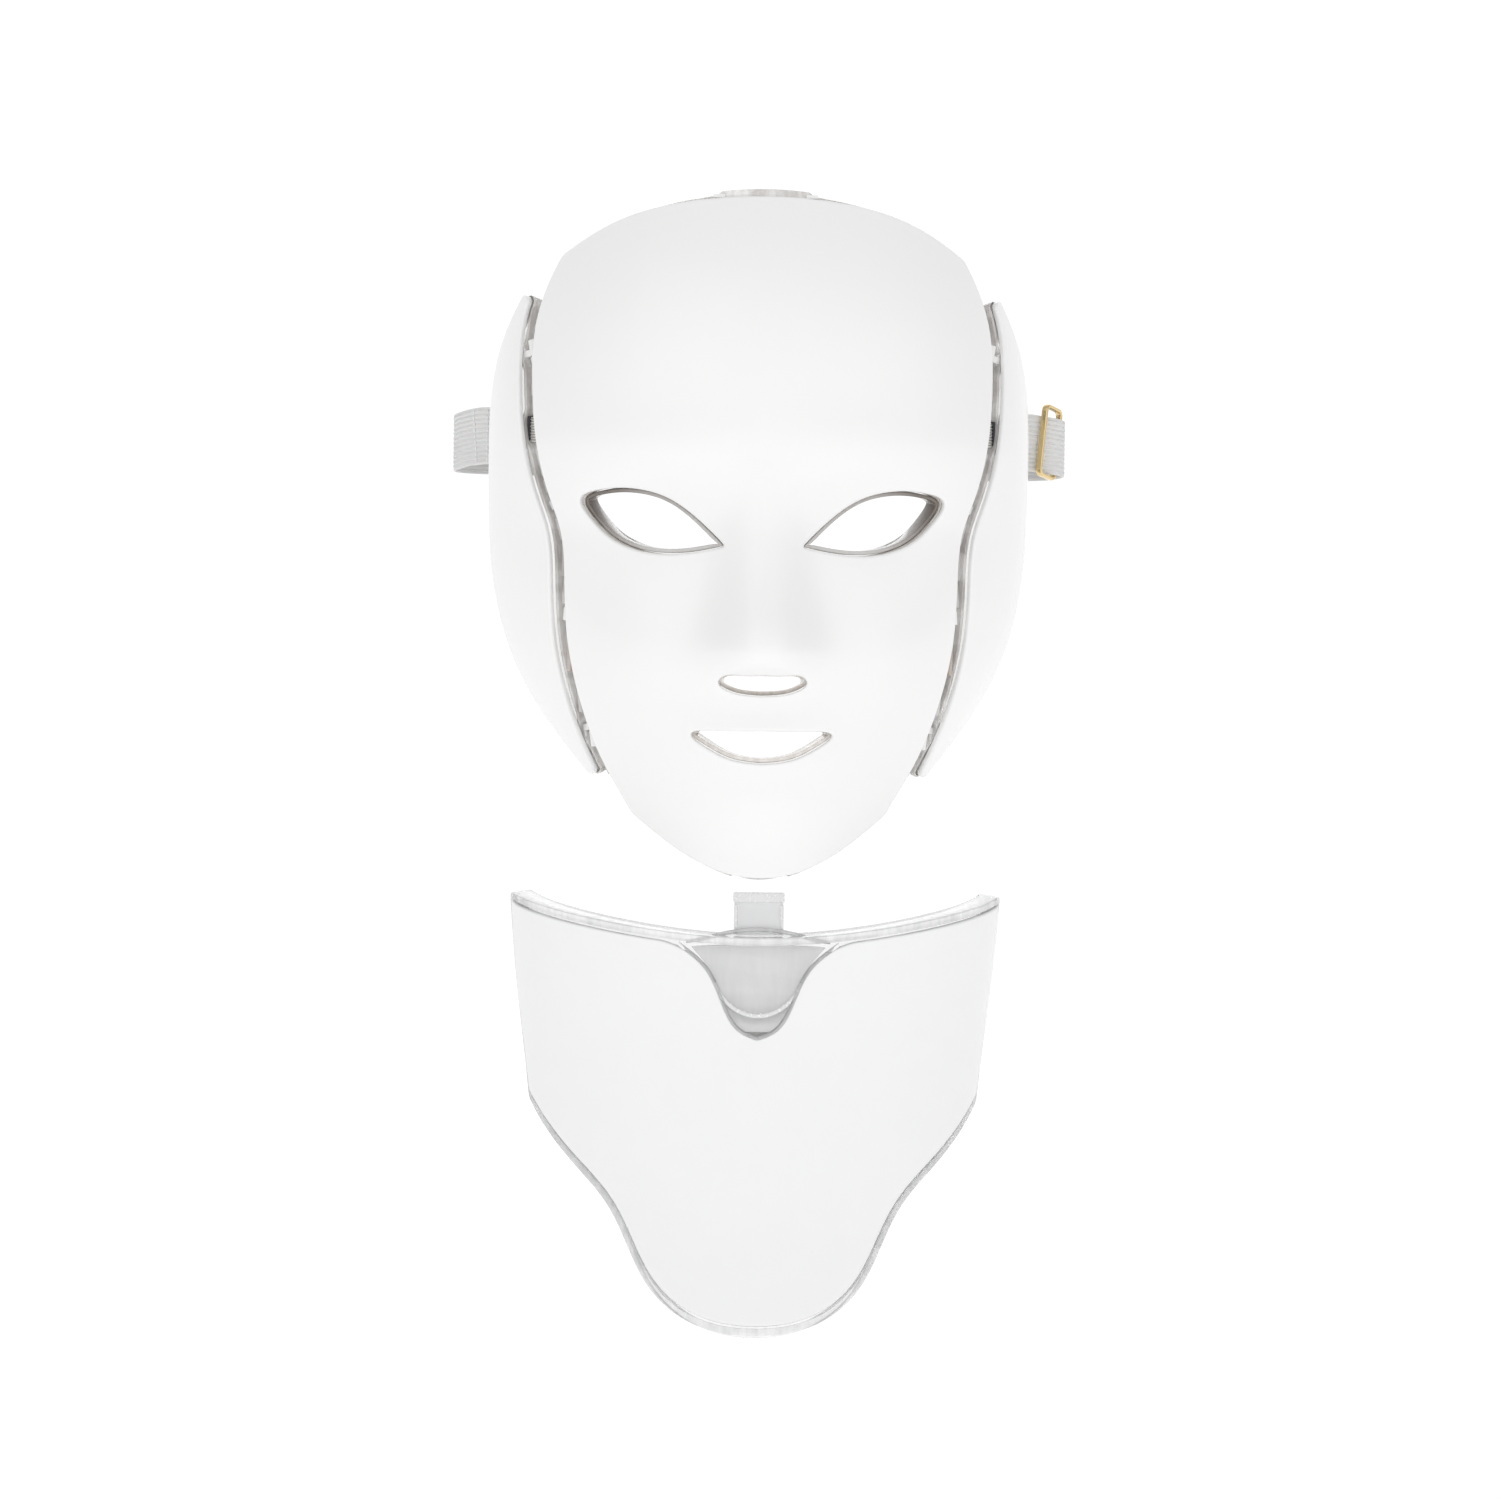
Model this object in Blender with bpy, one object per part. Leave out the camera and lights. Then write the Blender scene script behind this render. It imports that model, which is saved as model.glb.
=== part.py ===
"""LED face mask with a detachable neck piece.

A white centre cover and two white side wings stand in front of clear lenses
that face the skin. The wings turn on hinges in the two seams, an elastic
strap joins their rear edges round the head, and the neck piece hangs below
the chin, where its tab slides up into a socket.

World frame: +Z up, the mask faces -Y, +X is the viewer's right. The origin is
on the midline at eye level, where the bridge of the wearer's nose rests.
Lengths below are millimetres; MM turns them into metres as meshes are made.
"""
import math

import bmesh
import bpy
import numpy as np
from mathutils import Matrix, Vector

MM = 0.001

# --- driving dimensions -----------------------------------------------------
COVER_WALL = 2.0          # white covers, front face to back face
RIM_LEVEL = 2.5           # depth at which the lens walls end behind a cover
LENS_FRONT = 6.5          # depth of the lens plate's cavity side
LENS_BACK = 8.0           # depth of the lens plate's skin side
LENS_WALL = 1.5           # walls of the lens trays
BOARD_FRONT = 3.3         # LED boards, depth of the side towards the cover
BOARD_BACK = 4.1          # LED boards, depth of the side that carries the LEDs
LED_SIZE = 4.0
LED_HEIGHT = 1.1
SEAM = 4.8                # gap between centre cover and wing, seen from the front
LENS_PROUD = 2.0          # the lenses stand out this far into the seams
LENS_LIP = 0.6            # and this far past the covers elsewhere
TOP_LIP = 1.6             # extra at the middle of the forehead

MASK_BACK = 75.0          # depth of the widest section, behind the origin
OPENING_LIP = 1.8         # the lens openings are smaller than the cover's by this
OPENING_WALL = 1.4
WALL_FOOT = 7.3           # the walls round the lens openings end inside its plate
EYE_RIM_BACK = 8.2        # the eye rims pass through the plate and end just behind it

HINGE_LEVEL = 4.6         # depth of the hinge line below the cover's surface
HINGE_HEIGHTS = {"upper": 56.0, "lower": -74.0}
BARREL_RADIUS = 1.9
BARREL_BORE = 0.95
BARREL_LENGTH = 5.6
PIN_RADIUS = 0.6

RIBBON_Z = 30.0
RIBBON_HEIGHT = 9.0
RIBBON_REACH = 11.0       # along the surface to each side of the seam's middle

STRAP_Z = 27.0
STRAP_HEIGHT = 20.0
STRAP_WALL = 1.5
STRAP_ANGLE = math.radians(45)      # the strap leaves the lug at this angle
STRAP_RADIUS = 40.0
LUG_BAR = (88.5, 69.8)              # rear bar of the strap lug in plan
LUG_WALL = 2.4
LOOP_RADIUS = 3.7
LOOP_LENGTH = 6.0
BUCKLE_ANGLE = math.radians(-30)    # where the buckle sits round the strap's side curve
BUCKLE_TILT = math.radians(12)      # its rear side hangs a little lower
BUCKLE_LENGTH = 13.5
BUCKLE_HEIGHT = 26.0
BUCKLE_BAR = 1.6
BUCKLE_DEPTH = 2.2

NECK_BACK = 45.0
NECK_RIM = {"bottom": -2.8, "top": -3.0, "left": -1.4, "right": -1.4}
NECK_RIM_LEVEL = 0.3
SCOOP_Z = (-171.5, -144.2)
SCOOP_WALL = 1.2
TAB_WIDTH = 17.0
TAB_Y = (-9.45, -7.7)
TAB_Z = (-139.1, -125.0)
TAB_CLEARANCE = 0.4
SOCKET_Y = -8.05
SOCKET_WALL = 1.2
SOCKET_Z = (-116.2, -107.9, -106.4)
INLET_AT = (-20.5, -107.5)          # front view; its long side follows the cover
INLET_DEPTH = 4.35
INLET_HALF = (3.6, 1.4)
INLET_RISE = (-5.0, 2.0)
PORT_HALF = (2.6, 0.6)
CLIP_AT = (16.0, 111.15)
CLIP_HALF = (2.0, 0.6, 0.6)
GAP = 0.35                # clearance between touching pieces

# --- front-view outlines, right half, as (x, z) -----------------------------
CENTRE_TOP = [(0, 110.8), (29.5, 108.3), (49.9, 102.3), (60.6, 96.4), (69.4, 90.1)]
CENTRE_SIDE = [(69.4, 90.1), (75.4, 77), (78.9, 62), (79.3, 46), (78.1, 28.2), (73.1, 7.5),
               (69.2, -3.7), (67.6, -20), (66.5, -39.8), (61.3, -63.6), (53, -84.3),
               (43.5, -100.5)]
CENTRE_BOTTOM = [(0, -119.8), (15.8, -117.2), (30, -110.2), (43.5, -100.5)]
WING_REAR = [(82.4, 77.2), (88, 65.8), (93, 48), (94.6, 20), (93.6, -16), (87.8, -43),
             (75, -68), (57.6, -89.4)]
WING_TOP_Z = 76.0
WING_BOTTOM_Z = -88.0

EYE = [(12.9, -7.8), (24, 2.4), (34, 8.6), (45, 11), (56, 10.2), (62.4, 7.2), (59, 0.6),
       (51, -6.6), (42, -10), (33, -10.9), (22, -9.8)]
NOSE_OPENING = [(0, -50.2), (9, -50.4), (14.2, -51.3), (15.3, -53.2), (12.4, -55.8),
                (6.5, -57.4), (0, -57.8)]
MOUTH_OPENING = [(0, -69.4), (14, -69.7), (24.5, -71.2), (18.5, -75.8), (10, -79.5), (0, -80.7)]

NECK_TOP = [(0, -140.2), (30, -138.6), (60, -134.8), (85.3, -129.6)]
NECK_SIDE = [(85.3, -129.6), (83, -160), (79.6, -188), (78.2, -201)]
NECK_BOTTOM = [(0, -274.7), (23.8, -270), (37, -259), (50, -234.6), (62, -221.5), (78.2, -201)]
NOTCH = [(26, -141), (17.5, -151), (11.5, -163.5), (6, -172), (0, -174.8)]

# --- sections and profiles, as (z, value) -----------------------------------
MASK_HALF_WIDTH = [(112, 76), (90, 85), (66, 92.5), (40, 96), (0, 96), (-30, 93.6), (-60, 84.5),
                   (-90, 67), (-121, 52)]
MASK_PROFILE = [(112, 17), (90, 3), (70, -6), (50, -11), (28, -13), (0, -10), (-30, -12),
                (-60, -15), (-85, -15.6), (-98, -14.4), (-107, -13.1), (-121, -12.8)]
NOSE_HEIGHT = [(22, 0), (6, 3.2), (-10, 7.4), (-27, 13.4), (-39, 17.6), (-45, 16.6),
               (-51, 9.4), (-57, 2.6), (-64, 0)]
NECK_HALF_WIDTH = [(-128, 88), (-201, 81.5), (-276, 81.5)]
NECK_PROFILE = [(-128, -14.6), (-165, -10.5), (-205, -10), (-245, -14), (-276, -22)]


# --- small geometry helpers -------------------------------------------------
def graph(stations):
    """A smooth function of z through (z, value) stations."""
    stations = sorted(stations)
    at = np.array([station[0] for station in stations], float)
    value = np.array([station[1] for station in stations], float)
    slope = np.gradient(value, at)

    def evaluate(z):
        z = min(max(z, at[0]), at[-1])
        k = min(max(int(np.searchsorted(at, z)) - 1, 0), len(at) - 2)
        span = at[k + 1] - at[k]
        t = (z - at[k]) / span
        return float((1 + 2 * t) * (1 - t) ** 2 * value[k]
                     + t * (1 - t) ** 2 * span * slope[k]
                     + t * t * (3 - 2 * t) * value[k + 1]
                     + t * t * (t - 1) * span * slope[k + 1])
    return evaluate


def curve(points, count, bias=1.0):
    """Points at even distances along a smooth curve through the given ones.

    A bias above 1 draws the points towards the curve's middle.
    """
    points = np.array(points, float)
    length = np.r_[0, np.cumsum(np.linalg.norm(np.diff(points, axis=0), axis=1))]
    tangent = np.gradient(points, length, axis=0)
    fine = []
    for k in range(len(points) - 1):
        span = length[k + 1] - length[k]
        for t in np.linspace(0, 1, 24, endpoint=False):
            fine.append((1 + 2 * t) * (1 - t) ** 2 * points[k]
                        + t * (1 - t) ** 2 * span * tangent[k]
                        + t * t * (3 - 2 * t) * points[k + 1]
                        + t * t * (t - 1) * span * tangent[k + 1])
    fine.append(points[-1])
    fine = np.array(fine)
    length = np.r_[0, np.cumsum(np.linalg.norm(np.diff(fine, axis=0), axis=1))]
    place = np.linspace(-1, 1, count + 1)
    place = 0.5 + 0.5 * np.sign(place) * np.abs(place) ** bias
    return np.array([[np.interp(s * length[-1], length, fine[:, axis]) for axis in (0, 1)]
                     for s in place])


def mirrored(half):
    """The whole symmetric edge, from -x to +x, of a right half that starts at x = 0."""
    return [(-x, z) for x, z in reversed(half[1:])] + list(half)


class Form:
    """An outer surface: half an ellipse at each height, plus relief in front."""

    def __init__(self, half_width, profile, back, relief):
        self.half_width = graph(half_width)
        self.profile = graph(profile)
        self.back = back
        self.relief = relief

    def turn(self, x, z):
        """The angle round the section at which the surface is x from the midline."""
        return math.asin(max(-1.0, min(1.0, x / self.half_width(z))))

    def spread(self, x, z):
        """Front-view (x, z) as a point of the surface's flat development."""
        return self.turn(x, z) * self.half_width(0), z

    def oval(self, u, z):
        angle = u / self.half_width(0)
        reach = self.back - self.profile(z)
        return np.array([self.half_width(z) * math.sin(angle),
                         self.back - reach * math.cos(angle), z])

    def level(self, point):
        x, y, z = point
        across = x / self.half_width(z)
        along = (self.back - y) / (self.back - self.profile(z))
        return across * across + along * along

    def point(self, u, z, depth=0.0):
        """The point at a depth square to the plain oval, with the relief set forward."""
        start = self.oval(u, z)
        step = 0.05 * np.eye(3)
        normal = np.array([self.level(start + s) - self.level(start - s) for s in step])
        found = start - depth * normal / np.linalg.norm(normal)
        found[1] -= self.relief(found[0], found[2])
        return found

    def at(self, x, z, depth=0.0):
        """The same from front-view coordinates."""
        return self.point(*self.spread(x, z), depth)


def bump(x, z, centre, size):
    """A smooth round rise of height 1."""
    return math.exp(-((x - centre[0]) / size[0]) ** 2 - ((z - centre[1]) / size[1]) ** 2)


nose_height = graph(NOSE_HEIGHT)


def face_relief(x, z):
    """How far the features stand forward of the plain oval surface."""
    side = abs(x)
    nose_width = 11.0 + 6.5 * min(max((10 - z) / 50, 0), 1)
    height = nose_height(z) * math.exp(-(x / nose_width) ** 2)
    height -= 4.5 * bump(side, z, (36, 1), (24, 13))
    height += 2.2 * bump(side, z, (30, 26), (30, 11))
    height += 3.0 * bump(side, z, (40, -42), (19, 20))
    height += 2.5 * bump(x, z, (0, -75), (24, 11))
    height += 2.0 * bump(x, z, (0, -94), (19, 9))
    return height


MASK = Form(MASK_HALF_WIDTH, MASK_PROFILE, MASK_BACK, face_relief)
NECK = Form(NECK_HALF_WIDTH, NECK_PROFILE, NECK_BACK, lambda x, z: 0.0)


# --- materials and objects --------------------------------------------------
def material(name, colour, roughness, metallic=0.0, alpha=1.0):
    shader = bpy.data.materials.new(name)
    shader.use_nodes = True
    principled = shader.node_tree.nodes["Principled BSDF"]
    principled.inputs["Base Color"].default_value = (*colour, 1.0)
    principled.inputs["Roughness"].default_value = roughness
    principled.inputs["Metallic"].default_value = metallic
    principled.inputs["Alpha"].default_value = alpha
    return shader


FINISHES = {
    "gloss_white": ((0.93, 0.93, 0.94), 0.12),
    "clear": ((0.86, 0.86, 0.87), 0.06, 0.0, 0.35),
    "frosted": ((0.80, 0.81, 0.82), 0.35, 0.0, 0.6),
    "board_white": ((0.88, 0.89, 0.87), 0.45),
    "board_green": ((0.05, 0.22, 0.11), 0.5),
    "black": ((0.03, 0.03, 0.035), 0.4),
    "webbing": ((0.92, 0.92, 0.91), 0.85),
    "gold": ((0.83, 0.62, 0.30), 0.2, 1.0),
    "steel": ((0.7, 0.7, 0.72), 0.25, 1.0),
    "ribbon": ((0.55, 0.56, 0.6), 0.4),
}


def add_object(name, bm, finish, group=None, flip=False):
    """One closed body from a bmesh in millimetres; flip makes the left-hand twin."""
    if flip:
        bmesh.ops.scale(bm, vec=(-1, 1, 1), verts=bm.verts)
    bmesh.ops.recalc_face_normals(bm, faces=bm.faces)
    bmesh.ops.triangulate(bm, faces=bm.faces)
    bmesh.ops.scale(bm, vec=(MM, MM, MM), verts=bm.verts)
    mesh = bpy.data.meshes.new(name)
    bm.to_mesh(mesh)
    bm.free()
    mesh.materials.append(material(name + "_finish", *FINISHES[finish]))
    mesh.shade_smooth()
    mesh.set_sharp_from_angle(angle=math.radians(35))
    item = bpy.data.objects.new(name, mesh)
    bpy.context.collection.objects.link(item)
    if group is not None:
        item.parent = group
        item.matrix_parent_inverse = group.matrix_world.inverted()
    return item


def add_group(name, place):
    group = bpy.data.objects.new(name, None)
    bpy.context.collection.objects.link(group)
    group.location = Vector(place) * MM
    bpy.context.view_layer.update()
    return group


def add_tool(name, bodies):
    """Separate closed bodies in one object that only cuts or joins others."""
    item = add_object(name, together(bodies), "black")
    item.hide_render = True
    item.display_type = "WIRE"
    return item


def together(bodies):
    """Several bmeshes as one."""
    whole = bmesh.new()
    for body in bodies:
        part = bpy.data.meshes.new("part")
        body.to_mesh(part)
        body.free()
        whole.from_mesh(part)
        bpy.data.meshes.remove(part)
    return whole


def twin(body):
    """A body with its mirror image across the midline."""
    other = body.copy()
    bmesh.ops.scale(other, vec=(-1, 1, 1), verts=other.verts)
    return [body, other]


def combine(item, tool, operation):
    boolean = item.modifiers.new(operation.lower() + "_" + tool.name, "BOOLEAN")
    boolean.operation = operation
    boolean.solver = "EXACT"
    boolean.object = tool


# --- mesh builders ----------------------------------------------------------
def coons(bottom, top, left, right):
    """The grid of points that fills four edge curves, as rows from bottom to top."""
    columns = len(bottom)
    rows = len(left)
    grid = np.zeros((rows, columns, 2))
    for j in range(rows):
        t = j / (rows - 1)
        for i in range(columns):
            s = i / (columns - 1)
            edges = (1 - t) * bottom[i] + t * top[i] + (1 - s) * left[j] + s * right[j]
            corners = ((1 - s) * (1 - t) * bottom[0] + s * (1 - t) * bottom[-1]
                       + (1 - s) * t * top[0] + s * t * top[-1])
            grid[j, i] = edges - corners
    return grid


def side_normals(edge, outward):
    """Unit vectors square to an edge curve, on the outward side."""
    tangent = np.gradient(edge, axis=0)
    normal = np.stack([tangent[:, 1], -tangent[:, 0]], axis=1)
    normal /= np.linalg.norm(normal, axis=1)[:, None]
    return normal if np.dot(normal[len(edge) // 2], outward) > 0 else -normal


def patch(edges, growth):
    """The grid inside four edges, each first moved outwards by its growth."""
    outward = {"bottom": (0, -1), "top": (0, 1), "left": (-1, 0), "right": (1, 0)}
    normal = {key: side_normals(edges[key], outward[key]) for key in edges}
    reach = {key: np.zeros(len(edges[key])) + growth[key] for key in edges}
    moved = {key: edges[key] + normal[key] * reach[key][:, None] for key in edges}
    for row, k in (("bottom", 0), ("top", -1)):
        for column, i in (("left", 0), ("right", -1)):
            here = normal[row][i]
            there = normal[column][k]
            shift = (here * reach[row][i] + there * reach[column][k]) / (1 + here @ there)
            moved[row][i] = edges[row][i] + shift
            moved[column][k] = moved[row][i]
    return coons(moved["bottom"], moved["top"], moved["left"], moved["right"])


def rim(grid):
    """The outermost points of a grid, in order round it."""
    return np.concatenate([grid[0, :-1], grid[:-1, -1], grid[-1, :0:-1], grid[:0:-1, 0]])


def add_points(bm, points):
    return [bm.verts.new(tuple(point)) for point in points]


def fill_grid(bm, verts, rows, columns):
    """Quads over a grid of vertices; returns the faces row by row."""
    faces = []
    for j in range(rows - 1):
        for i in range(columns - 1):
            corner = j * columns + i
            faces.append(bm.faces.new((verts[corner], verts[corner + 1],
                                       verts[corner + columns + 1], verts[corner + columns])))
    return faces


def bridge(bm, ring, other):
    """A band of quads between two closed rings of the same length."""
    for k in range(len(ring)):
        n = (k + 1) % len(ring)
        bm.faces.new((ring[k], ring[n], other[n], other[k]))


def ring_of(verts, rows, columns):
    index = np.arange(rows * columns).reshape(rows, columns)
    return [verts[k] for k in rim(index)]


def place_grid(form, grid, depth):
    return np.array([form.point(u, z, depth) for u, z in grid.reshape(-1, 2)])


def sheet(form, grid, front, back, leds=False):
    """A curved plate between two depths; LEDs rise from its rear face."""
    rows, columns = grid.shape[:2]
    bm = bmesh.new()
    near = add_points(bm, place_grid(form, grid, front))
    far = add_points(bm, place_grid(form, grid, back))
    fill_grid(bm, near, rows, columns)
    cells = fill_grid(bm, far, rows, columns)
    bridge(bm, ring_of(near, rows, columns), ring_of(far, rows, columns))
    bmesh.ops.recalc_face_normals(bm, faces=bm.faces)
    if leds:
        for cell in cells:
            raise_led(bm, cell)
    return bm


def raise_led(bm, cell):
    """A square LED standing on the middle of a four-sided cell."""
    corners = [vert.co.copy() for vert in cell.verts]
    middle = sum(corners, Vector()) / 4
    along = (corners[1] + corners[2] - corners[0] - corners[3]).normalized()
    outward = cell.normal.copy()
    across = outward.cross(along)
    half = LED_SIZE / 2
    spots = [middle + half * (s * along + t * across)
             for s, t in ((-1, -1), (1, -1), (1, 1), (-1, 1))]
    foot = add_points(bm, spots)
    top = add_points(bm, [spot + outward * LED_HEIGHT for spot in spots])
    bridge(bm, list(cell.verts), foot)
    bridge(bm, foot, top)
    bm.faces.new(top)
    bm.faces.remove(cell)


def tray(form, outer, inner, rim_level=RIM_LEVEL):
    """A lens: a curved plate whose walls reach forward to the cover."""
    rows, columns = outer.shape[:2]
    bm = bmesh.new()
    skin = add_points(bm, place_grid(form, outer, LENS_BACK))
    cavity = add_points(bm, place_grid(form, inner, LENS_FRONT))
    wall_outer = add_points(bm, [form.point(u, z, rim_level) for u, z in rim(outer)])
    wall_inner = add_points(bm, [form.point(u, z, rim_level) for u, z in rim(inner)])
    fill_grid(bm, skin, rows, columns)
    fill_grid(bm, cavity, rows, columns)
    bridge(bm, ring_of(skin, rows, columns), wall_outer)
    bridge(bm, wall_outer, wall_inner)
    bridge(bm, wall_inner, ring_of(cavity, rows, columns))
    return bm


def plug(form, outline, front, back):
    """A solid that fills an outline from one depth to another."""
    bm = bmesh.new()
    rings = []
    for depth in (front, back):
        ring = add_points(bm, [form.at(x, z, depth) for x, z in outline])
        middle = bm.verts.new(tuple(form.at(*np.mean(outline, axis=0), depth)))
        for k in range(len(ring)):
            bm.faces.new((ring[k], ring[(k + 1) % len(ring)], middle))
        rings.append(ring)
    bridge(bm, rings[0], rings[1])
    return bm


def wall_ring(form, outer, inner, front, back):
    """A wall between two outlines, from one depth to another."""
    bm = bmesh.new()
    rings = []
    for outline, depth in ((outer, front), (outer, back), (inner, back), (inner, front)):
        rings.append(add_points(bm, [form.at(x, z, depth) for x, z in outline]))
    for k in range(4):
        bridge(bm, rings[k], rings[(k + 1) % 4])
    return bm


def closed(points, count):
    """A smooth closed outline that may have a corner at its first point."""
    return curve(list(points) + [points[0]], count)[:-1]


def both_halves(half, count):
    """A symmetric closed outline from its right half, top middle to bottom middle."""
    right = curve(half, count)
    left = right[-2:0:-1] * (-1, 1)
    return np.concatenate([right, left])


def inset(outline, distance):
    """A closed outline drawn in (or out, if negative) by a distance."""
    tangent = np.roll(outline, -1, axis=0) - np.roll(outline, 1, axis=0)
    normal = np.stack([-tangent[:, 1], tangent[:, 0]], axis=1)
    normal /= np.linalg.norm(normal, axis=1)[:, None]
    if np.sum(normal * (outline.mean(axis=0) - outline)) < 0:
        normal = -normal
    return outline + normal * distance


def box(low, high):
    bm = bmesh.new()
    size = [h - l for l, h in zip(low, high)]
    middle = Vector([(h + l) / 2 for l, h in zip(low, high)])
    bmesh.ops.create_cube(bm, size=1.0, matrix=Matrix.Translation(middle)
                          @ Matrix.Diagonal((*size, 1.0)))
    return bm


def lattice(across, up, solid, thickness):
    """Cells of a rectangular net, extruded; solid says which cells are there."""
    bm = bmesh.new()
    layers = []
    for y in (-thickness / 2, thickness / 2):
        layers.append([[bm.verts.new((x, y, z)) for x in across] for z in up])
    for j, row in enumerate(solid):
        for i, filled in enumerate(row):
            if not filled:
                continue
            loops = [[layer[j][i], layer[j][i + 1], layer[j + 1][i + 1], layer[j + 1][i]]
                     for layer in layers]
            for loop in loops:
                bm.faces.new(loop)
            steps = ((0, -1), (1, 0), (0, 1), (-1, 0))
            for k, (di, dj) in enumerate(steps):
                inside = 0 <= i + di < len(row) and 0 <= j + dj < len(solid)
                if inside and solid[j + dj][i + di]:
                    continue
                n = (k + 1) % 4
                bm.faces.new((loops[0][k], loops[0][n], loops[1][n], loops[1][k]))
    return bm


def band(centre_line, thickness, low, high, closed=False):
    """A flat strip on edge along a plan line, from one height to another."""
    line = np.array(centre_line, float)
    if closed:
        tangent = np.roll(line, -1, axis=0) - np.roll(line, 1, axis=0)
    else:
        tangent = np.gradient(line, axis=0)
    normal = np.stack([tangent[:, 1], -tangent[:, 0]], axis=1)
    normal /= np.linalg.norm(normal, axis=1)[:, None]
    bm = bmesh.new()
    sides = []
    for offset, z in ((0.5, low), (0.5, high), (-0.5, high), (-0.5, low)):
        sides.append(add_points(bm, [(*point, z) for point in line + normal * thickness * offset]))
    count = len(line)
    for k in range(4):
        here = sides[k]
        there = sides[(k + 1) % 4]
        for i in range(count if closed else count - 1):
            n = (i + 1) % count
            bm.faces.new((here[i], here[n], there[n], there[i]))
    if not closed:
        bm.faces.new([side[0] for side in sides])
        bm.faces.new([side[-1] for side in sides])
    return bm


def tube(start, end, radius, bore, sides=10):
    """A round bar between two points, with a bore if it has one."""
    bm = bmesh.new()
    axis = Vector(end) - Vector(start)
    frame = axis.to_track_quat("Z", "Y").to_matrix()
    rings = []
    outline = ((radius, 0), (radius, 1), (bore, 1), (bore, 0)) if bore else ((radius, 0), (radius, 1))
    for size, along in outline:
        ring = []
        for k in range(sides):
            angle = 2 * math.pi * k / sides
            offset = frame @ Vector((size * math.cos(angle), size * math.sin(angle), 0))
            ring.append(bm.verts.new(Vector(start) + axis * along + offset))
        rings.append(ring)
    if bore:
        for k in range(4):
            bridge(bm, rings[k], rings[(k + 1) % 4])
    else:
        bridge(bm, rings[0], rings[1])
        bm.faces.new(rings[0])
        bm.faces.new(rings[1])
    return bm


# --- the centre of the mask -------------------------------------------------
def edge(form, points, count, bias=1.0):
    """An outline's edge as a curve in the form's development."""
    return curve([form.spread(x, z) for x, z in points], count, bias)


def mask_edges(columns, rows):
    right = edge(MASK, CENTRE_SIDE[::-1], rows)
    return {
        "bottom": edge(MASK, mirrored(CENTRE_BOTTOM), columns, 1.15),
        "top": edge(MASK, mirrored(CENTRE_TOP), columns, 1.15),
        "left": right * (-1, 1),
        "right": right,
    }


def same_growth(value):
    return {"bottom": value, "top": value, "left": value, "right": value}


def lens_growth(columns, inward=0.0):
    """The centre lens stands out into the seams, and most at the top of the forehead."""
    across = np.linspace(-1, 1, columns + 1)
    return {
        "bottom": LENS_LIP - inward,
        "top": LENS_LIP + TOP_LIP * np.exp(-(across / 0.55) ** 2) - inward,
        "left": LENS_PROUD - inward,
        "right": LENS_PROUD - inward,
    }


def openings():
    """Front-view outlines of the cover's openings: eyes, nose and mouth."""
    right_eye = closed(EYE, 26)
    left_eye = right_eye[::-1] * (-1, 1)
    return [right_eye, left_eye, both_halves(NOSE_OPENING, 9), both_halves(MOUTH_OPENING, 10)]


def board(form, x_range, z_range, columns, rows):
    """A rectangular board's grid between front-view limits."""
    grid = np.zeros((rows + 1, columns + 1, 2))
    middle = 0.5 * (z_range[0] + z_range[1])
    u_range = [form.spread(x, middle)[0] for x in x_range]
    for j, z in enumerate(np.linspace(*z_range, rows + 1)):
        for i, u in enumerate(np.linspace(*u_range, columns + 1)):
            grid[j, i] = (u, z)
    return grid


def build_cover():
    bm = sheet(MASK, patch(mask_edges(21, 26), same_growth(0.0)), 0.0, COVER_WALL)
    cover = add_object("front_cover", bm, "gloss_white")
    cuts = [plug(MASK, outline, -4.0, 5.0) for outline in openings()]
    combine(cover, add_tool("cover_openings", cuts), "DIFFERENCE")
    for side in (-1, 1):
        name = "left_cover_clip" if side < 0 else "right_cover_clip"
        seat = MASK.at(*CLIP_AT, 1.2)
        clip = box(seat - CLIP_HALF, seat + CLIP_HALF)
        add_object(name, clip, "gloss_white", flip=side < 0)


def build_lens():
    columns = 17
    edges = mask_edges(columns, 20)
    outer = patch(edges, lens_growth(columns))
    inner = patch(edges, lens_growth(columns, LENS_WALL))
    lens = add_object("inner_lens", tray(MASK, outer, inner), "clear")
    eyes, others = openings()[:2], openings()[2:]
    walls = [inset(outline, OPENING_LIP - OPENING_WALL) for outline in others]
    combine(lens, add_tool("opening_walls", [plug(MASK, wall, RIM_LEVEL + 0.5, WALL_FOOT)
                                             for wall in walls]), "UNION")
    holes = [inset(outline, OPENING_LIP - OPENING_WALL - GAP) for outline in eyes]
    holes += [inset(outline, OPENING_LIP) for outline in others]
    cuts = [plug(MASK, hole, -4.0, 12.0) for hole in holes]
    cuts += [chin_slot(), inlet_box(np.add(INLET_HALF, GAP), (-14.0, INLET_RISE[1] + GAP))]
    cuts += twin(ribbon_sheet(1.0, 3.4, 5.7))
    combine(lens, add_tool("lens_cuts", cuts), "DIFFERENCE")


def build_eye_rims():
    """The wall round each eye opening, a separate ring let into the lens."""
    for name, outline in zip(("right_eye_rim", "left_eye_rim"), openings()):
        ring = wall_ring(MASK, inset(outline, OPENING_LIP - OPENING_WALL),
                         inset(outline, OPENING_LIP), RIM_LEVEL, EYE_RIM_BACK)
        add_object(name, ring, "clear")


def chin_slot():
    """The notch in the lens's lower wall that the neck piece's tab slides through."""
    half = TAB_WIDTH / 2 + TAB_CLEARANCE
    low = (-half, TAB_Y[0] - 3.0, SOCKET_Z[0] - 8.0)
    return box(low, (half, TAB_Y[1] + 0.45, SOCKET_Z[0] - 0.2))


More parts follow.
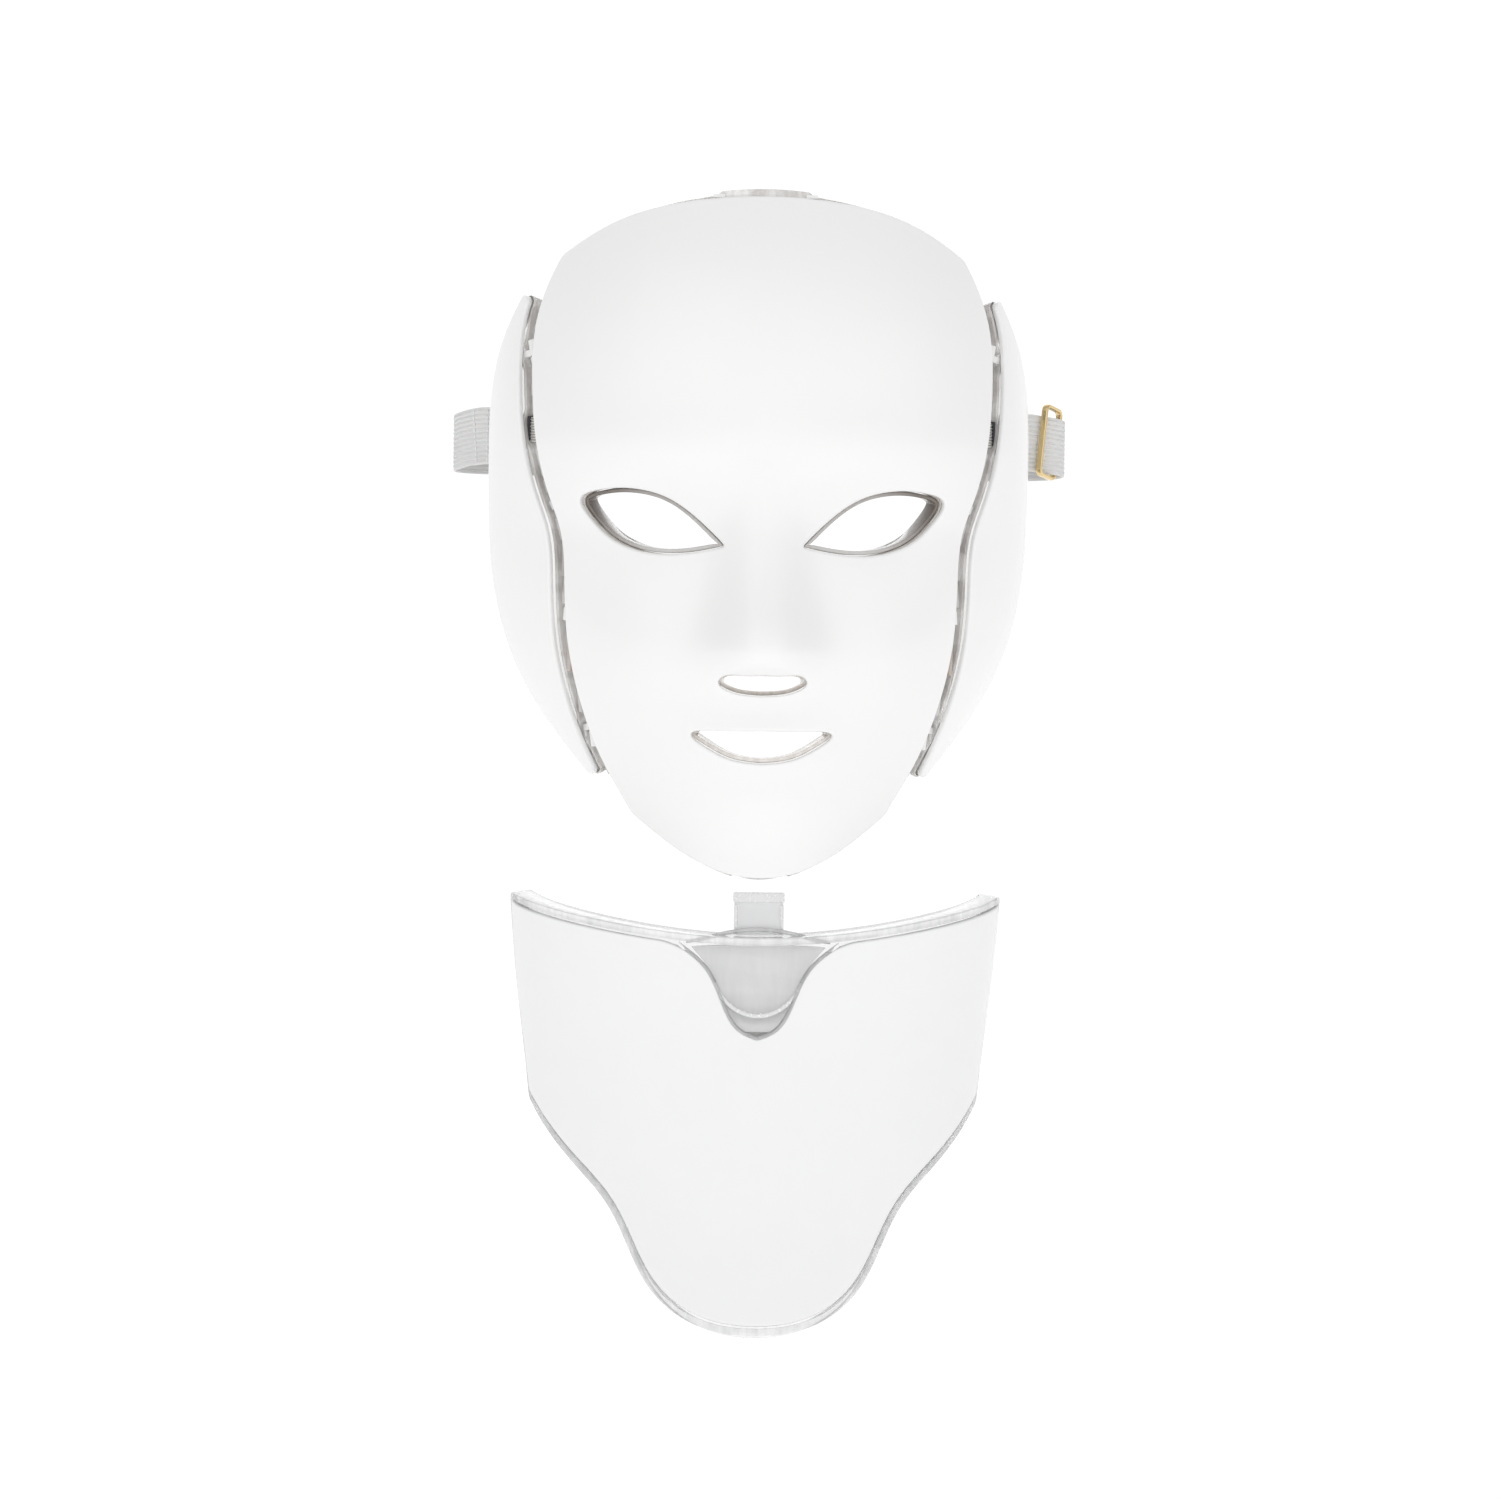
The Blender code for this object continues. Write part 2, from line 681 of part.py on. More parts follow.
def inlet_box(half_size, heights):
    """A block at the power inlet's place, turned to lie along the cover."""
    x, z = INLET_AT
    seat = MASK.at(x, z, INLET_DEPTH)
    beside = MASK.at(x - 2.0, z, INLET_DEPTH)
    turn = math.atan2(seat[1] - beside[1], seat[0] - beside[0])
    width, depth = half_size
    bm = box((-width, -depth, heights[0]), (width, depth, heights[1]))
    place = Matrix.Translation(Vector(seat)) @ Matrix.Rotation(turn, 4, "Z")
    bmesh.ops.transform(bm, matrix=place, verts=bm.verts)
    return bm


def build_chin():
    """The socket for the neck piece's tab, its contacts and the power inlet."""
    inner = TAB_WIDTH / 2 + 2 * TAB_CLEARANCE
    outer = inner + 2.0
    across = [-outer, -inner, inner, outer]
    socket = lattice(across, SOCKET_Z, [[1, 0, 1], [1, 1, 1]], SOCKET_WALL)
    bmesh.ops.translate(socket, vec=(0, SOCKET_Y, 0), verts=socket.verts)
    add_object("chin_socket", socket, "gloss_white")
    add_object("chin_contacts", box((-5, -8.8, -109.4), (5, -7.5, -108.25)), "gold")
    inlet = add_object("power_inlet", inlet_box(INLET_HALF, INLET_RISE), "black")
    port = add_tool("inlet_port", [inlet_box(PORT_HALF, (INLET_RISE[0] - 2.0, -0.8))])
    combine(inlet, port, "DIFFERENCE")


def build_boards():
    boards = {
        "forehead_led_board": ((-58, 58), (22, 78), 8, 4),
        "right_cheek_led_board": ((25, 54), (-60, -21), 2, 2),
        "left_cheek_led_board": ((-54, -25), (-60, -21), 2, 2),
        "chin_led_board": ((-21, 21), (-100, -87.5), 3, 1),
    }
    for name, (x_range, z_range, columns, rows) in boards.items():
        grid = board(MASK, x_range, z_range, columns, rows)
        add_object(name, sheet(MASK, grid, BOARD_FRONT, BOARD_BACK, leds=True), "board_white")
    grid = board(MASK, (-15, 15), (84, 102), 3, 1)
    add_object("control_board", sheet(MASK, grid, BOARD_FRONT, BOARD_BACK, leds=True),
               "board_green")


# --- the wings, built for the right side ------------------------------------
def seam_x(z):
    """The centre cover's side edge in the front view."""
    side = curve(CENTRE_SIDE[::-1], 120)
    return float(np.interp(z, side[:, 1], side[:, 0]))


def wing_grid(columns, rows, inner_shift=0.0, rear_shift=0.0, ends=(0.0, 1.0), end_lip=0.0):
    """Rows across the wing, from its seam edge to its rear edge, bottom to top."""
    rear = edge(MASK, WING_REAR[::-1], 100)
    rear = rear + side_normals(rear, (1, 0)) * rear_shift
    grid = np.zeros((rows + 1, columns + 1, 2))
    for j, t in enumerate(np.linspace(*ends, rows + 1)):
        z = WING_BOTTOM_Z + t * (WING_TOP_Z - WING_BOTTOM_Z)
        start = np.array(MASK.spread(seam_x(z) + SEAM, z)) + (inner_shift, 0)
        stop = np.array([np.interp(t * 100, range(101), rear[:, k]) for k in (0, 1)])
        for i, s in enumerate(np.linspace(0, 1, columns + 1)):
            grid[j, i] = (1 - s) * start + s * stop
    grid[0, :, 1] -= end_lip
    grid[-1, :, 1] += end_lip
    return grid


def hinge_point(z):
    """A point of the hinge line, in the middle of the right seam."""
    return MASK.at(seam_x(z) + SEAM / 2, z, HINGE_LEVEL)


def hinge_axis():
    low = Vector(hinge_point(HINGE_HEIGHTS["lower"]))
    high = Vector(hinge_point(HINGE_HEIGHTS["upper"]))
    return low, high, (high - low).normalized()


def build_hinges(prefix, wing, flip):
    low, high, axis = hinge_axis()
    for level, centre in (("upper", high), ("lower", low)):
        start = centre - axis * (BARREL_LENGTH + GAP / 2)
        add_object(f"{prefix}_{level}_hinge_eye",
                   tube(start, start + axis * BARREL_LENGTH, BARREL_RADIUS, BARREL_BORE),
                   "gloss_white", flip=flip)
        start = centre + axis * (GAP / 2)
        add_object(f"{prefix}_{level}_hinge_knuckle",
                   tube(start, start + axis * BARREL_LENGTH, BARREL_RADIUS, BARREL_BORE),
                   "gloss_white", wing, flip)
        reach = axis * (BARREL_LENGTH + 0.6)
        add_object(f"{prefix}_{level}_hinge_pin",
                   tube(centre - reach, centre + reach, PIN_RADIUS, 0.0, 8), "steel", flip=flip)


def build_wing(prefix, wing, flip):
    cover = sheet(MASK, wing_grid(6, 14), 0.0, COVER_WALL)
    add_object(f"{prefix}_wing_cover", cover, "gloss_white", wing, flip)
    outer = wing_grid(5, 12, -LENS_PROUD, LENS_LIP, end_lip=LENS_LIP)
    inner = wing_grid(5, 12, LENS_WALL - LENS_PROUD, LENS_LIP - LENS_WALL, ends=(0.07, 0.95))
    wing_lens = add_object(f"{prefix}_wing_lens", tray(MASK, outer, inner), "clear", wing, flip)
    leds = wing_grid(10, 20)[4:17:3, 3:8:2]
    add_object(f"{prefix}_wing_led_board", sheet(MASK, leds, BOARD_FRONT, BOARD_BACK, leds=True),
               "board_white", wing, flip)

    tool = add_tool(f"{prefix}_ribbon_slot", [twin(ribbon_sheet(1.0, 3.4, 5.7))[flip]])
    combine(wing_lens, tool, "DIFFERENCE")
    add_object(f"{prefix}_ribbon_cable", ribbon_sheet(0.0, 4.3, 4.8), "ribbon", flip=flip)


def ribbon_sheet(margin, front, back):
    """The flat cable's path across the right seam, or the slot round it."""
    middle, z = MASK.spread(seam_x(RIBBON_Z) + SEAM / 2, RIBBON_Z)
    half_height = RIBBON_HEIGHT / 2 + margin
    grid = np.zeros((3, 7, 2))
    for j, height in enumerate((z - half_height, z, z + half_height)):
        for i, u in enumerate(np.linspace(middle - RIBBON_REACH, middle + RIBBON_REACH, 7)):
            grid[j, i] = (u, height)
    return sheet(MASK, grid, front, back)


# --- the strap --------------------------------------------------------------
def arc(centre, radius, start, stop, steps):
    return [(centre[0] + radius * math.cos(a), centre[1] + radius * math.sin(a))
            for a in np.linspace(start, stop, steps + 1)]


def strap_start():
    """Where the strap leaves the right loop, and the centre of its side curve."""
    along = Vector((math.sin(STRAP_ANGLE), math.cos(STRAP_ANGLE)))
    end = Vector(LUG_BAR) + along * (LOOP_LENGTH + LOOP_RADIUS + 0.5)
    outward = Vector((math.cos(STRAP_ANGLE), -math.sin(STRAP_ANGLE)))
    return end, end - outward * STRAP_RADIUS


def build_lug(prefix, wing, flip):
    """A slotted lug behind the wing, and the sewn loop of webbing round its bar."""
    slot = 4.6
    height = STRAP_HEIGHT / 2 + 1.2
    across = [-LUG_WALL / 2 - slot - LUG_WALL, -LUG_WALL / 2 - slot, -LUG_WALL / 2, LUG_WALL / 2]
    up = [-height - LUG_WALL, -height, height, height + LUG_WALL]
    lug = lattice(across, up, [[1, 1, 1], [1, 0, 1], [1, 1, 1]], LUG_WALL)
    place = (Matrix.Translation((*LUG_BAR, STRAP_Z)) @ Matrix.Rotation(math.radians(90), 4, "Z"))
    bmesh.ops.transform(lug, matrix=place, verts=lug.verts)
    add_object(f"{prefix}_strap_lug", lug, "gloss_white", wing, flip)

    middle = LOOP_RADIUS - STRAP_WALL / 2
    direction = math.pi / 2 - STRAP_ANGLE
    bar = Vector(LUG_BAR)
    end = bar + Vector((math.cos(direction), math.sin(direction))) * LOOP_LENGTH
    quarter = math.pi / 2
    line = (arc(end, middle, direction - quarter, direction + quarter, 6)
            + arc(bar, middle, direction + quarter, direction + 3 * quarter, 6))
    loop = band(line, STRAP_WALL, STRAP_Z - STRAP_HEIGHT / 2, STRAP_Z + STRAP_HEIGHT / 2, True)
    add_object(f"{prefix}_strap_loop", loop, "webbing", wing, flip)


def build_strap():
    end, centre = strap_start()
    right = arc(centre, STRAP_RADIUS, -STRAP_ANGLE, math.pi / 2, 14)
    line = right + [(x, y) for x, y in [(centre[0] / 2, centre[1] + STRAP_RADIUS)]]
    line = line + [(0, centre[1] + STRAP_RADIUS)] + [(-x, y) for x, y in reversed(line)]
    strap = band(line, STRAP_WALL, STRAP_Z - STRAP_HEIGHT / 2, STRAP_Z + STRAP_HEIGHT / 2)
    add_object("elastic_strap", strap, "webbing")


def build_buckle(group):
    """A rectangular ring that lies along the outer side of the strap."""
    centre = strap_start()[1]
    half = BUCKLE_LENGTH / 2
    across = [-half, -half + BUCKLE_BAR, half - BUCKLE_BAR, half]
    top = BUCKLE_HEIGHT / 2
    up = [-top, -top + BUCKLE_BAR, top - BUCKLE_BAR, top]
    buckle = lattice(across, up, [[1, 1, 1], [1, 0, 1], [1, 1, 1]], BUCKLE_DEPTH)
    reach = STRAP_RADIUS + (STRAP_WALL + BUCKLE_DEPTH) / 2 + GAP
    spot = centre + Vector((math.cos(BUCKLE_ANGLE), math.sin(BUCKLE_ANGLE))) * reach
    place = (Matrix.Translation((*spot, STRAP_Z))
             @ Matrix.Rotation(BUCKLE_ANGLE + math.pi / 2, 4, "Z")
             @ Matrix.Rotation(BUCKLE_TILT, 4, "Y"))
    bmesh.ops.transform(buckle, matrix=place, verts=buckle.verts)
    add_object("adjuster_buckle", buckle, "gold", group)


# --- the neck piece ---------------------------------------------------------
def neck_edges(columns, rows):
    right = edge(NECK, NECK_SIDE[::-1], rows)
    return {
        "bottom": edge(NECK, mirrored(NECK_BOTTOM), columns),
        "top": edge(NECK, mirrored(NECK_TOP), columns),
        "left": right * (-1, 1),
        "right": right,
    }


def build_neck(group):
    edges = neck_edges(15, 10)
    panel = {key: value - 0.5 for key, value in NECK_RIM.items()}
    lens = tray(NECK, patch(edges, same_growth(0.0)), patch(edges, NECK_RIM), NECK_RIM_LEVEL)
    add_object("neck_lens", lens, "clear", group)

    cover = add_object("neck_cover", sheet(NECK, patch(edges, panel), 0.0, COVER_WALL),
                       "frosted", group)
    mouth_of_notch = [(30, -133)] + NOTCH
    outline = np.array(mouth_of_notch + [(-x, z) for x, z in reversed(mouth_of_notch[:-1])], float)
    combine(cover, add_tool("notch_cut", [plug(NECK, outline, -4.0, 5.0)]), "DIFFERENCE")
    build_scoop(group)

    leds = patch(edges, {key: value - 5.0 for key, value in NECK_RIM.items()})[1:7:1, 2:14:2]
    add_object("neck_led_board", sheet(NECK, leds, BOARD_FRONT, BOARD_BACK, leds=True),
               "board_white", group)
    half = TAB_WIDTH / 2
    add_object("neck_tab", box((-half, TAB_Y[0], TAB_Z[0]), (half, TAB_Y[1], TAB_Z[1])),
               "frosted", group)


def build_scoop(group):
    """The dished tray that fills the notch."""
    notch = np.array(NOTCH[::-1], float)
    rows = 6
    columns = 6
    layers = [[], []]
    for j in range(rows + 1):
        z = SCOOP_Z[0] + j / rows * (SCOOP_Z[1] - SCOOP_Z[0])
        half = np.interp(z, notch[:, 1], notch[:, 0]) - 1.1
        for i in range(columns + 1):
            s = 2 * i / columns - 1
            depth = 1.0 + 3.4 * (1 - s * s) * math.sin(math.pi / 2 * min(1.0, j / 3))
            layers[0].append(NECK.at(half * s, z, depth))
            layers[1].append(NECK.at(half * s, z, depth + SCOOP_WALL))
    bm = bmesh.new()
    near = add_points(bm, layers[0])
    far = add_points(bm, layers[1])
    for verts in (near, far):
        fill_grid(bm, verts, rows + 1, columns + 1)
    bridge(bm, ring_of(near, rows + 1, columns + 1), ring_of(far, rows + 1, columns + 1))
    add_object("neck_scoop", bm, "clear", group)


# --- assembly ---------------------------------------------------------------
def main():
    for item in list(bpy.data.objects):
        bpy.data.objects.remove(item, do_unlink=True)
    build_cover()
    build_lens()
    build_eye_rims()
    build_chin()
    build_boards()
    low = hinge_axis()[0]
    for side, prefix in ((-1, "left"), (1, "right")):
        wing = add_group(f"{prefix}_wing_axis", (side * low.x, low.y, low.z))
        build_hinges(prefix, wing, side < 0)
        build_wing(prefix, wing, side < 0)
        build_lug(prefix, wing, side < 0)
    build_strap()
    turn = strap_start()[1]
    build_buckle(add_group("buckle_axis", (*turn, STRAP_Z)))
    build_neck(add_group("neck_piece", (0, sum(TAB_Y) / 2, TAB_Z[0])))


main()
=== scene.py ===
"""Looks of the LED face mask: fine shells, clear lenses, LED boards and webbing.

Lengths in the shape sections are millimetres in the part's own frame: +Z up,
the mask faces -Y, +X is the viewer's right. MM turns them into metres.
"""
import math

import bmesh
import bpy
import numpy as np
from mathutils import Matrix, Vector, kdtree
from mathutils.geometry import delaunay_2d_cdt


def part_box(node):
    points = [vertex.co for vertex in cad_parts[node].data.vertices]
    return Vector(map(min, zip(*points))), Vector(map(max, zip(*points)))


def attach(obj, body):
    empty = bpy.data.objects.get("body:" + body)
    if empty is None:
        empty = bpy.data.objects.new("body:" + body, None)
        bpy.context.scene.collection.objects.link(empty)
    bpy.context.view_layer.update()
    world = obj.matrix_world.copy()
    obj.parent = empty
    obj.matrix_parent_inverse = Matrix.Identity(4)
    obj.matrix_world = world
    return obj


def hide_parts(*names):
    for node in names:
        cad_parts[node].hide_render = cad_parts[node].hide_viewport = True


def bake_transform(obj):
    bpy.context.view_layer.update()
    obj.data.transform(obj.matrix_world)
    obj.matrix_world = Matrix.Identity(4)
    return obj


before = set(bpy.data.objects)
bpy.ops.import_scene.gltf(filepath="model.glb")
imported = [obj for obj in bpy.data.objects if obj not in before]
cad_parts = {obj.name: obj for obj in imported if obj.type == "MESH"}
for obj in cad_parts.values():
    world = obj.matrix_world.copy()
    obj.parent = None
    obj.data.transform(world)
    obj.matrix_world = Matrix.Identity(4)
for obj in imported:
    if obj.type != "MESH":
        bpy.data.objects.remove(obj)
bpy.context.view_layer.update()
MM = 0.001

# --- the part's driving dimensions, as the CAD states them -------------------
COVER_WALL = 2.0
LENS_FRONT = 6.5
LENS_BACK = 8.0
LENS_WALL = 1.5
BOARD_FRONT = 3.3
BOARD_BACK = 4.1
SEAM = 4.8
LENS_PROUD = 2.0
LENS_LIP = 0.8
TOP_LIP = 1.4
MASK_BACK = 75.0
EYE_RIM_BACK = 8.2
CHIN_SLOT = 9.6
OPENING_LIP = 1.8
OPENING_WALL = 1.4
HINGE_LEVEL = 4.6
HINGE_HEIGHTS = {"upper": 56.0, "lower": -74.0}
BARREL_RADIUS = 1.9
BARREL_LENGTH = 5.6
PIN_RADIUS = 0.6
BARREL_BORE = 0.95
HINGE_TAB = 4.8
RIBBON_Z = 30.0
RIBBON_HEIGHT = 9.0
RIBBON_REACH = 11.0
STRAP_Z = 27.0
STRAP_HEIGHT = 20.0
STRAP_WALL = 1.5
STRAP_ANGLE = math.radians(45)
STRAP_RADIUS = 40.0
LUG_BAR = (88.5, 69.8)
LOOP_RADIUS = 3.7
LOOP_LENGTH = 6.0
BUCKLE_ANGLE = math.radians(-30)
BUCKLE_TILT = math.radians(12)
BUCKLE_LENGTH = 13.5
BUCKLE_HEIGHT = 26.0
BUCKLE_DEPTH = 2.2
NECK_BACK = 45.0
NECK_RIM = {"bottom": 2.8, "side": 1.4, "top": 3.0}
NECK_RIM_LEVEL = 0.3
NECK_WALL = 2.6
SCOOP_Z = (-172.5, -143.6)

CENTRE_TOP = [(0, 110.8), (29.5, 108.3), (49.9, 102.3), (60.6, 96.4), (69.4, 90.1)]
CENTRE_SIDE = [(69.4, 90.1), (75.4, 77), (78.9, 62), (79.3, 46), (78.1, 28.2), (73.1, 7.5),
               (69.2, -3.7), (67.6, -20), (66.5, -39.8), (61.3, -63.6), (53, -84.3),
               (43.5, -100.5)]
CENTRE_BOTTOM = [(0, -119.8), (15.8, -117.2), (30, -110.2), (43.5, -100.5)]
WING_REAR = [(82.4, 77.2), (88, 65.8), (93, 48), (94.6, 20), (93.6, -16), (87.8, -43),
             (75, -68), (57.6, -89.4)]
WING_TOP_Z = 76.0
WING_BOTTOM_Z = -88.0
EYE = [(12.9, -7.8), (24, 2.4), (34, 8.6), (45, 11), (56, 10.2), (62.4, 7.2), (59, 0.6),
       (51, -6.6), (42, -10), (33, -10.9), (22, -9.8)]
NOSE_OPENING = [(0, -50.2), (9, -50.4), (14.2, -51.3), (15.3, -53.2), (12.4, -55.8),
                (6.5, -57.4), (0, -57.8)]
MOUTH_OPENING = [(0, -69.4), (14, -69.7), (24.5, -71.2), (18.5, -75.8), (10, -79.5), (0, -80.7)]
NECK_TOP = [(0, -140.2), (30, -138.6), (60, -134.8), (85.3, -129.6)]
NECK_SIDE = [(85.3, -129.6), (83, -160), (79.6, -188), (78.2, -201)]
NECK_BOTTOM = [(0, -274.7), (23.8, -270), (37, -259), (50, -234.6), (62, -221.5), (78.2, -201)]
NOTCH = [(26, -141), (17.5, -151), (11.5, -163.5), (6, -172), (0, -174.8)]

MASK_HALF_WIDTH = [(112, 76), (90, 85), (66, 92.5), (40, 96), (0, 96), (-30, 93.6), (-60, 84.5),
                   (-90, 67), (-121, 52)]
MASK_PROFILE = [(112, 17), (90, 3), (70, -6), (50, -11), (28, -13), (0, -10), (-30, -12),
                (-60, -15), (-85, -15.6), (-98, -14.4), (-107, -13.1), (-121, -12.8)]
NOSE_HEIGHT = [(22, 0), (6, 3.2), (-10, 7.4), (-27, 13.4), (-39, 17.6), (-45, 16.6),
               (-51, 9.4), (-57, 2.6), (-64, 0)]
NECK_HALF_WIDTH = [(-128, 88), (-201, 81.5), (-276, 81.5)]
NECK_PROFILE = [(-128, -14.6), (-165, -10.5), (-205, -10), (-245, -14), (-276, -22)]


# --- the finish's own numbers ------------------------------------------------
# distances between the points of an outline, and between those of a plate
OUTLINE_STEP = 1.0
BOARD_STEP = 0.8
NECK_STEP = 1.2
COVER_MESH = 1.8
LENS_MESH = 2.4
BOARD_MESH = 2.5
PANEL_MESH = 2.2
NECK_LENS_MESH = 2.6
# the strips of tray_profile that are seen as wall; the gap between cover and wall
TRAY_WALLS = (3, 8)
RIM_GAP = 0.15
# where a lens leaves room for a hinge or a cable: how far it stays back, and the margin
LENS_RETREAT = -0.4
RETREAT_MARGIN = 0.8
# sizes of small parts along a form, up it and inwards
LED_PACKAGE = (3.6, 3.4, 0.7)
LED_FILLET = (0.6, 2.2, 0.28)
RESISTOR = (1.1, 0.85, 0.45)
RESISTOR_END = (0.36, 0.85, 0.46)
DRIVER_CHIP = (7.0, 7.0, 1.0)
CONNECTOR = (4.2, 9.0, 1.8)
CONTACT = (1.2, 0.5, 0.3)
CRYSTAL = (4.4, 2.0, 1.0)
HINGE_ARM = (4.2, HINGE_TAB / 2, 1.3)
HINGE_FOOT = (3.4, 1.6 * HINGE_TAB, 1.1)
BARREL_GAP = 0.175
CABLE_PLUG = (1.7, RIBBON_HEIGHT + 0.6, 1.5)
CABLE_PITCH = 0.9
STITCH = (0.45, 0.36, 1.5)
STRAP_SAG = 6.0
STRAP_RIBS = 12
TAIL_LENGTH = 9.0
LAYER_STEP = 1.62
# where the right half is cut into its front, side and back, in degrees round its curve
STRAP_CUTS = (-20, 57)
STRAP_SEAMS = (-2.2, 5.2)


# --- surfaces ----------------------------------------------------------------
def unit(vectors):
    """A vector, or each row of vectors, at length 1."""
    return vectors / np.linalg.norm(vectors, axis=-1, keepdims=True)


def spline(places, values):
    """A natural cubic spline, clamped at its ends; values may be points."""
    x = np.array(places, float)
    y = np.array(values, float).reshape(len(x), -1)
    gap = np.diff(x)[:, None]
    system = np.eye(len(x))
    target = np.zeros_like(y)
    for k in range(1, len(x) - 1):
        system[k, k - 1:k + 2] = (gap[k - 1, 0], 2 * (gap[k - 1, 0] + gap[k, 0]), gap[k, 0])
        target[k] = 6 * ((y[k + 1] - y[k]) / gap[k] - (y[k] - y[k - 1]) / gap[k - 1])
    bend = np.linalg.solve(system, target)

    def evaluate(at):
        at = np.clip(np.asarray(at, float), x[0], x[-1])
        k = np.clip(np.searchsorted(x, at) - 1, 0, len(x) - 2)
        width = gap[k]
        a = (x[k + 1] - at)[..., None] / width
        b = 1 - a
        result = (a * y[k] + b * y[k + 1]
                  + ((a ** 3 - a) * bend[k] + (b ** 3 - b) * bend[k + 1]) * width ** 2 / 6)
        return result if y.shape[1] > 1 else result[..., 0]
    return evaluate


def graph(stations):
    """A smooth function of z through (z, value) stations."""
    stations = sorted(stations)
    return spline([station[0] for station in stations], [station[1] for station in stations])


class Form:
    """An outer surface: half an ellipse at each height, with relief set forward."""

    def __init__(self, half_width, profile, back, relief):
        self.half_width = graph(half_width)
        self.profile = graph(profile)
        self.back = back
        self.relief = relief
        self.scale = float(self.half_width(0.0))

    def spread(self, points):
        """Front-view points (x, z) as points of the flat development (u, z)."""
        points = np.asarray(points, float).reshape(-1, 2)
        ratio = np.clip(points[:, 0] / self.half_width(points[:, 1]), -1, 1)
        return np.stack([np.arcsin(ratio) * self.scale, points[:, 1]], axis=1)

    def place(self, flat, depth=0.0):
        """Points of the development at a depth square to the plain oval."""
        flat = np.asarray(flat, float).reshape(-1, 2)
        angle = flat[:, 0] / self.scale
        z = flat[:, 1]
        width = self.half_width(z)
        reach = self.back - self.profile(z)
        widening = (self.half_width(z + 0.1) - self.half_width(z - 0.1)) / 0.2
        deepening = -(self.profile(z + 0.1) - self.profile(z - 0.1)) / 0.2
        across = np.sin(angle)
        along = np.cos(angle)
        normal = np.stack([across / width, -along / reach,
                           -across ** 2 * widening / width - along ** 2 * deepening / reach],
                          axis=1)
        found = np.stack([width * across, self.back - reach * along, z], axis=1)
        found = found - np.reshape(depth, (-1, 1)) * unit(normal)
        found[:, 1] -= self.relief(found[:, 0], found[:, 2])
        return found


def bump(x, z, centre, size):
    return np.exp(-((x - centre[0]) / size[0]) ** 2 - ((z - centre[1]) / size[1]) ** 2)


nose_height = graph(NOSE_HEIGHT)


def face_relief(x, z):
    """How far the features stand forward of the plain oval surface."""
    side = np.abs(x)
    nose_width = 11.0 + 6.5 * np.clip((10 - z) / 50, 0, 1)
    height = nose_height(z) * np.exp(-np.abs(x / nose_width) ** 2.4)
    height -= 4.5 * bump(side, z, (36, 1), (24, 13))
    height += 2.2 * bump(side, z, (30, 26), (30, 11))
    height += 3.0 * bump(side, z, (40, -42), (19, 20))
    height += 2.5 * bump(x, z, (0, -75), (24, 11))
    height += 2.0 * bump(x, z, (0, -94), (19, 9))
    return height


MASK = Form(MASK_HALF_WIDTH, MASK_PROFILE, MASK_BACK, face_relief)
NECK = Form(NECK_HALF_WIDTH, NECK_PROFILE, NECK_BACK, lambda x, z: np.zeros_like(x))


# --- outlines ----------------------------------------------------------------
def run_lengths(points):
    """The distance along a line of points, at each of them."""
    return np.r_[0, np.cumsum(np.linalg.norm(np.diff(points, axis=0), axis=1))]


def resampled(points, wanted):
    """Points of a line at the wanted distances along it."""
    length = run_lengths(points)
    return np.stack([np.interp(wanted, length, points[:, k]) for k in (0, 1)], axis=1)


def curve(points, spacing):
    """A smooth curve through points, at about even distances."""
    points = np.asarray(points, float)
    chord = run_lengths(points)
    fine = spline(chord, points)(np.linspace(0, chord[-1], 40 * len(points)))
    length = run_lengths(fine)[-1]
    count = max(2, int(round(length / spacing)))
    return resampled(fine, np.linspace(0, length, count + 1))


def mirrored(half):
    """Points from x = 0 outwards, with their mirror image before them."""
    return [(-x, z) for x, z in reversed(half[1:])] + list(half)


def both_sides(half):
    """A curve that ends at x = 0, with its mirror image after it."""
    return np.concatenate([half, (half * (-1, 1))[-2::-1]])


def loop_normals(loop):
    """Unit vectors out of a closed loop, whichever way round it runs."""
    ahead = np.roll(loop, -1, axis=0) - loop
    ahead /= np.linalg.norm(ahead, axis=1)[:, None] + 1e-9
    behind = np.roll(ahead, 1, axis=0)
    square = np.stack([ahead[:, 1], -ahead[:, 0]], axis=1)
    other = np.stack([behind[:, 1], -behind[:, 0]], axis=1)
    normal = unit(square + other)
    stretch = np.clip(1 / np.sum(normal * square, axis=1), 1, 1.6)
    area = np.sum(loop[:, 0] * np.roll(loop[:, 1], -1) - np.roll(loop[:, 0], -1) * loop[:, 1])
    return normal * stretch[:, None] * (1 if area > 0 else -1)


def grown(loop, distance):
    """A loop moved outwards by a distance, which may differ from point to point."""
    return loop + loop_normals(loop) * np.reshape(distance, (-1, 1))


def softened(loop, passes):
    """A loop with its corners rounded a little."""
    for _ in range(passes):
        loop = 0.25 * np.roll(loop, 1, axis=0) + 0.5 * loop + 0.25 * np.roll(loop, -1, axis=0)
    return loop


def averaged(values, passes):
    """Values round a loop, evened out with their neighbours."""
    for _ in range(passes):
        values = (np.roll(values, 1) + values + np.roll(values, -1)) / 3
    return values


def eased(share, passes, slack):
    """Shares round a loop, lowered where they change too fast."""
    for _ in range(passes):
        share = np.minimum(share, averaged(share, 1) + slack)
    return share


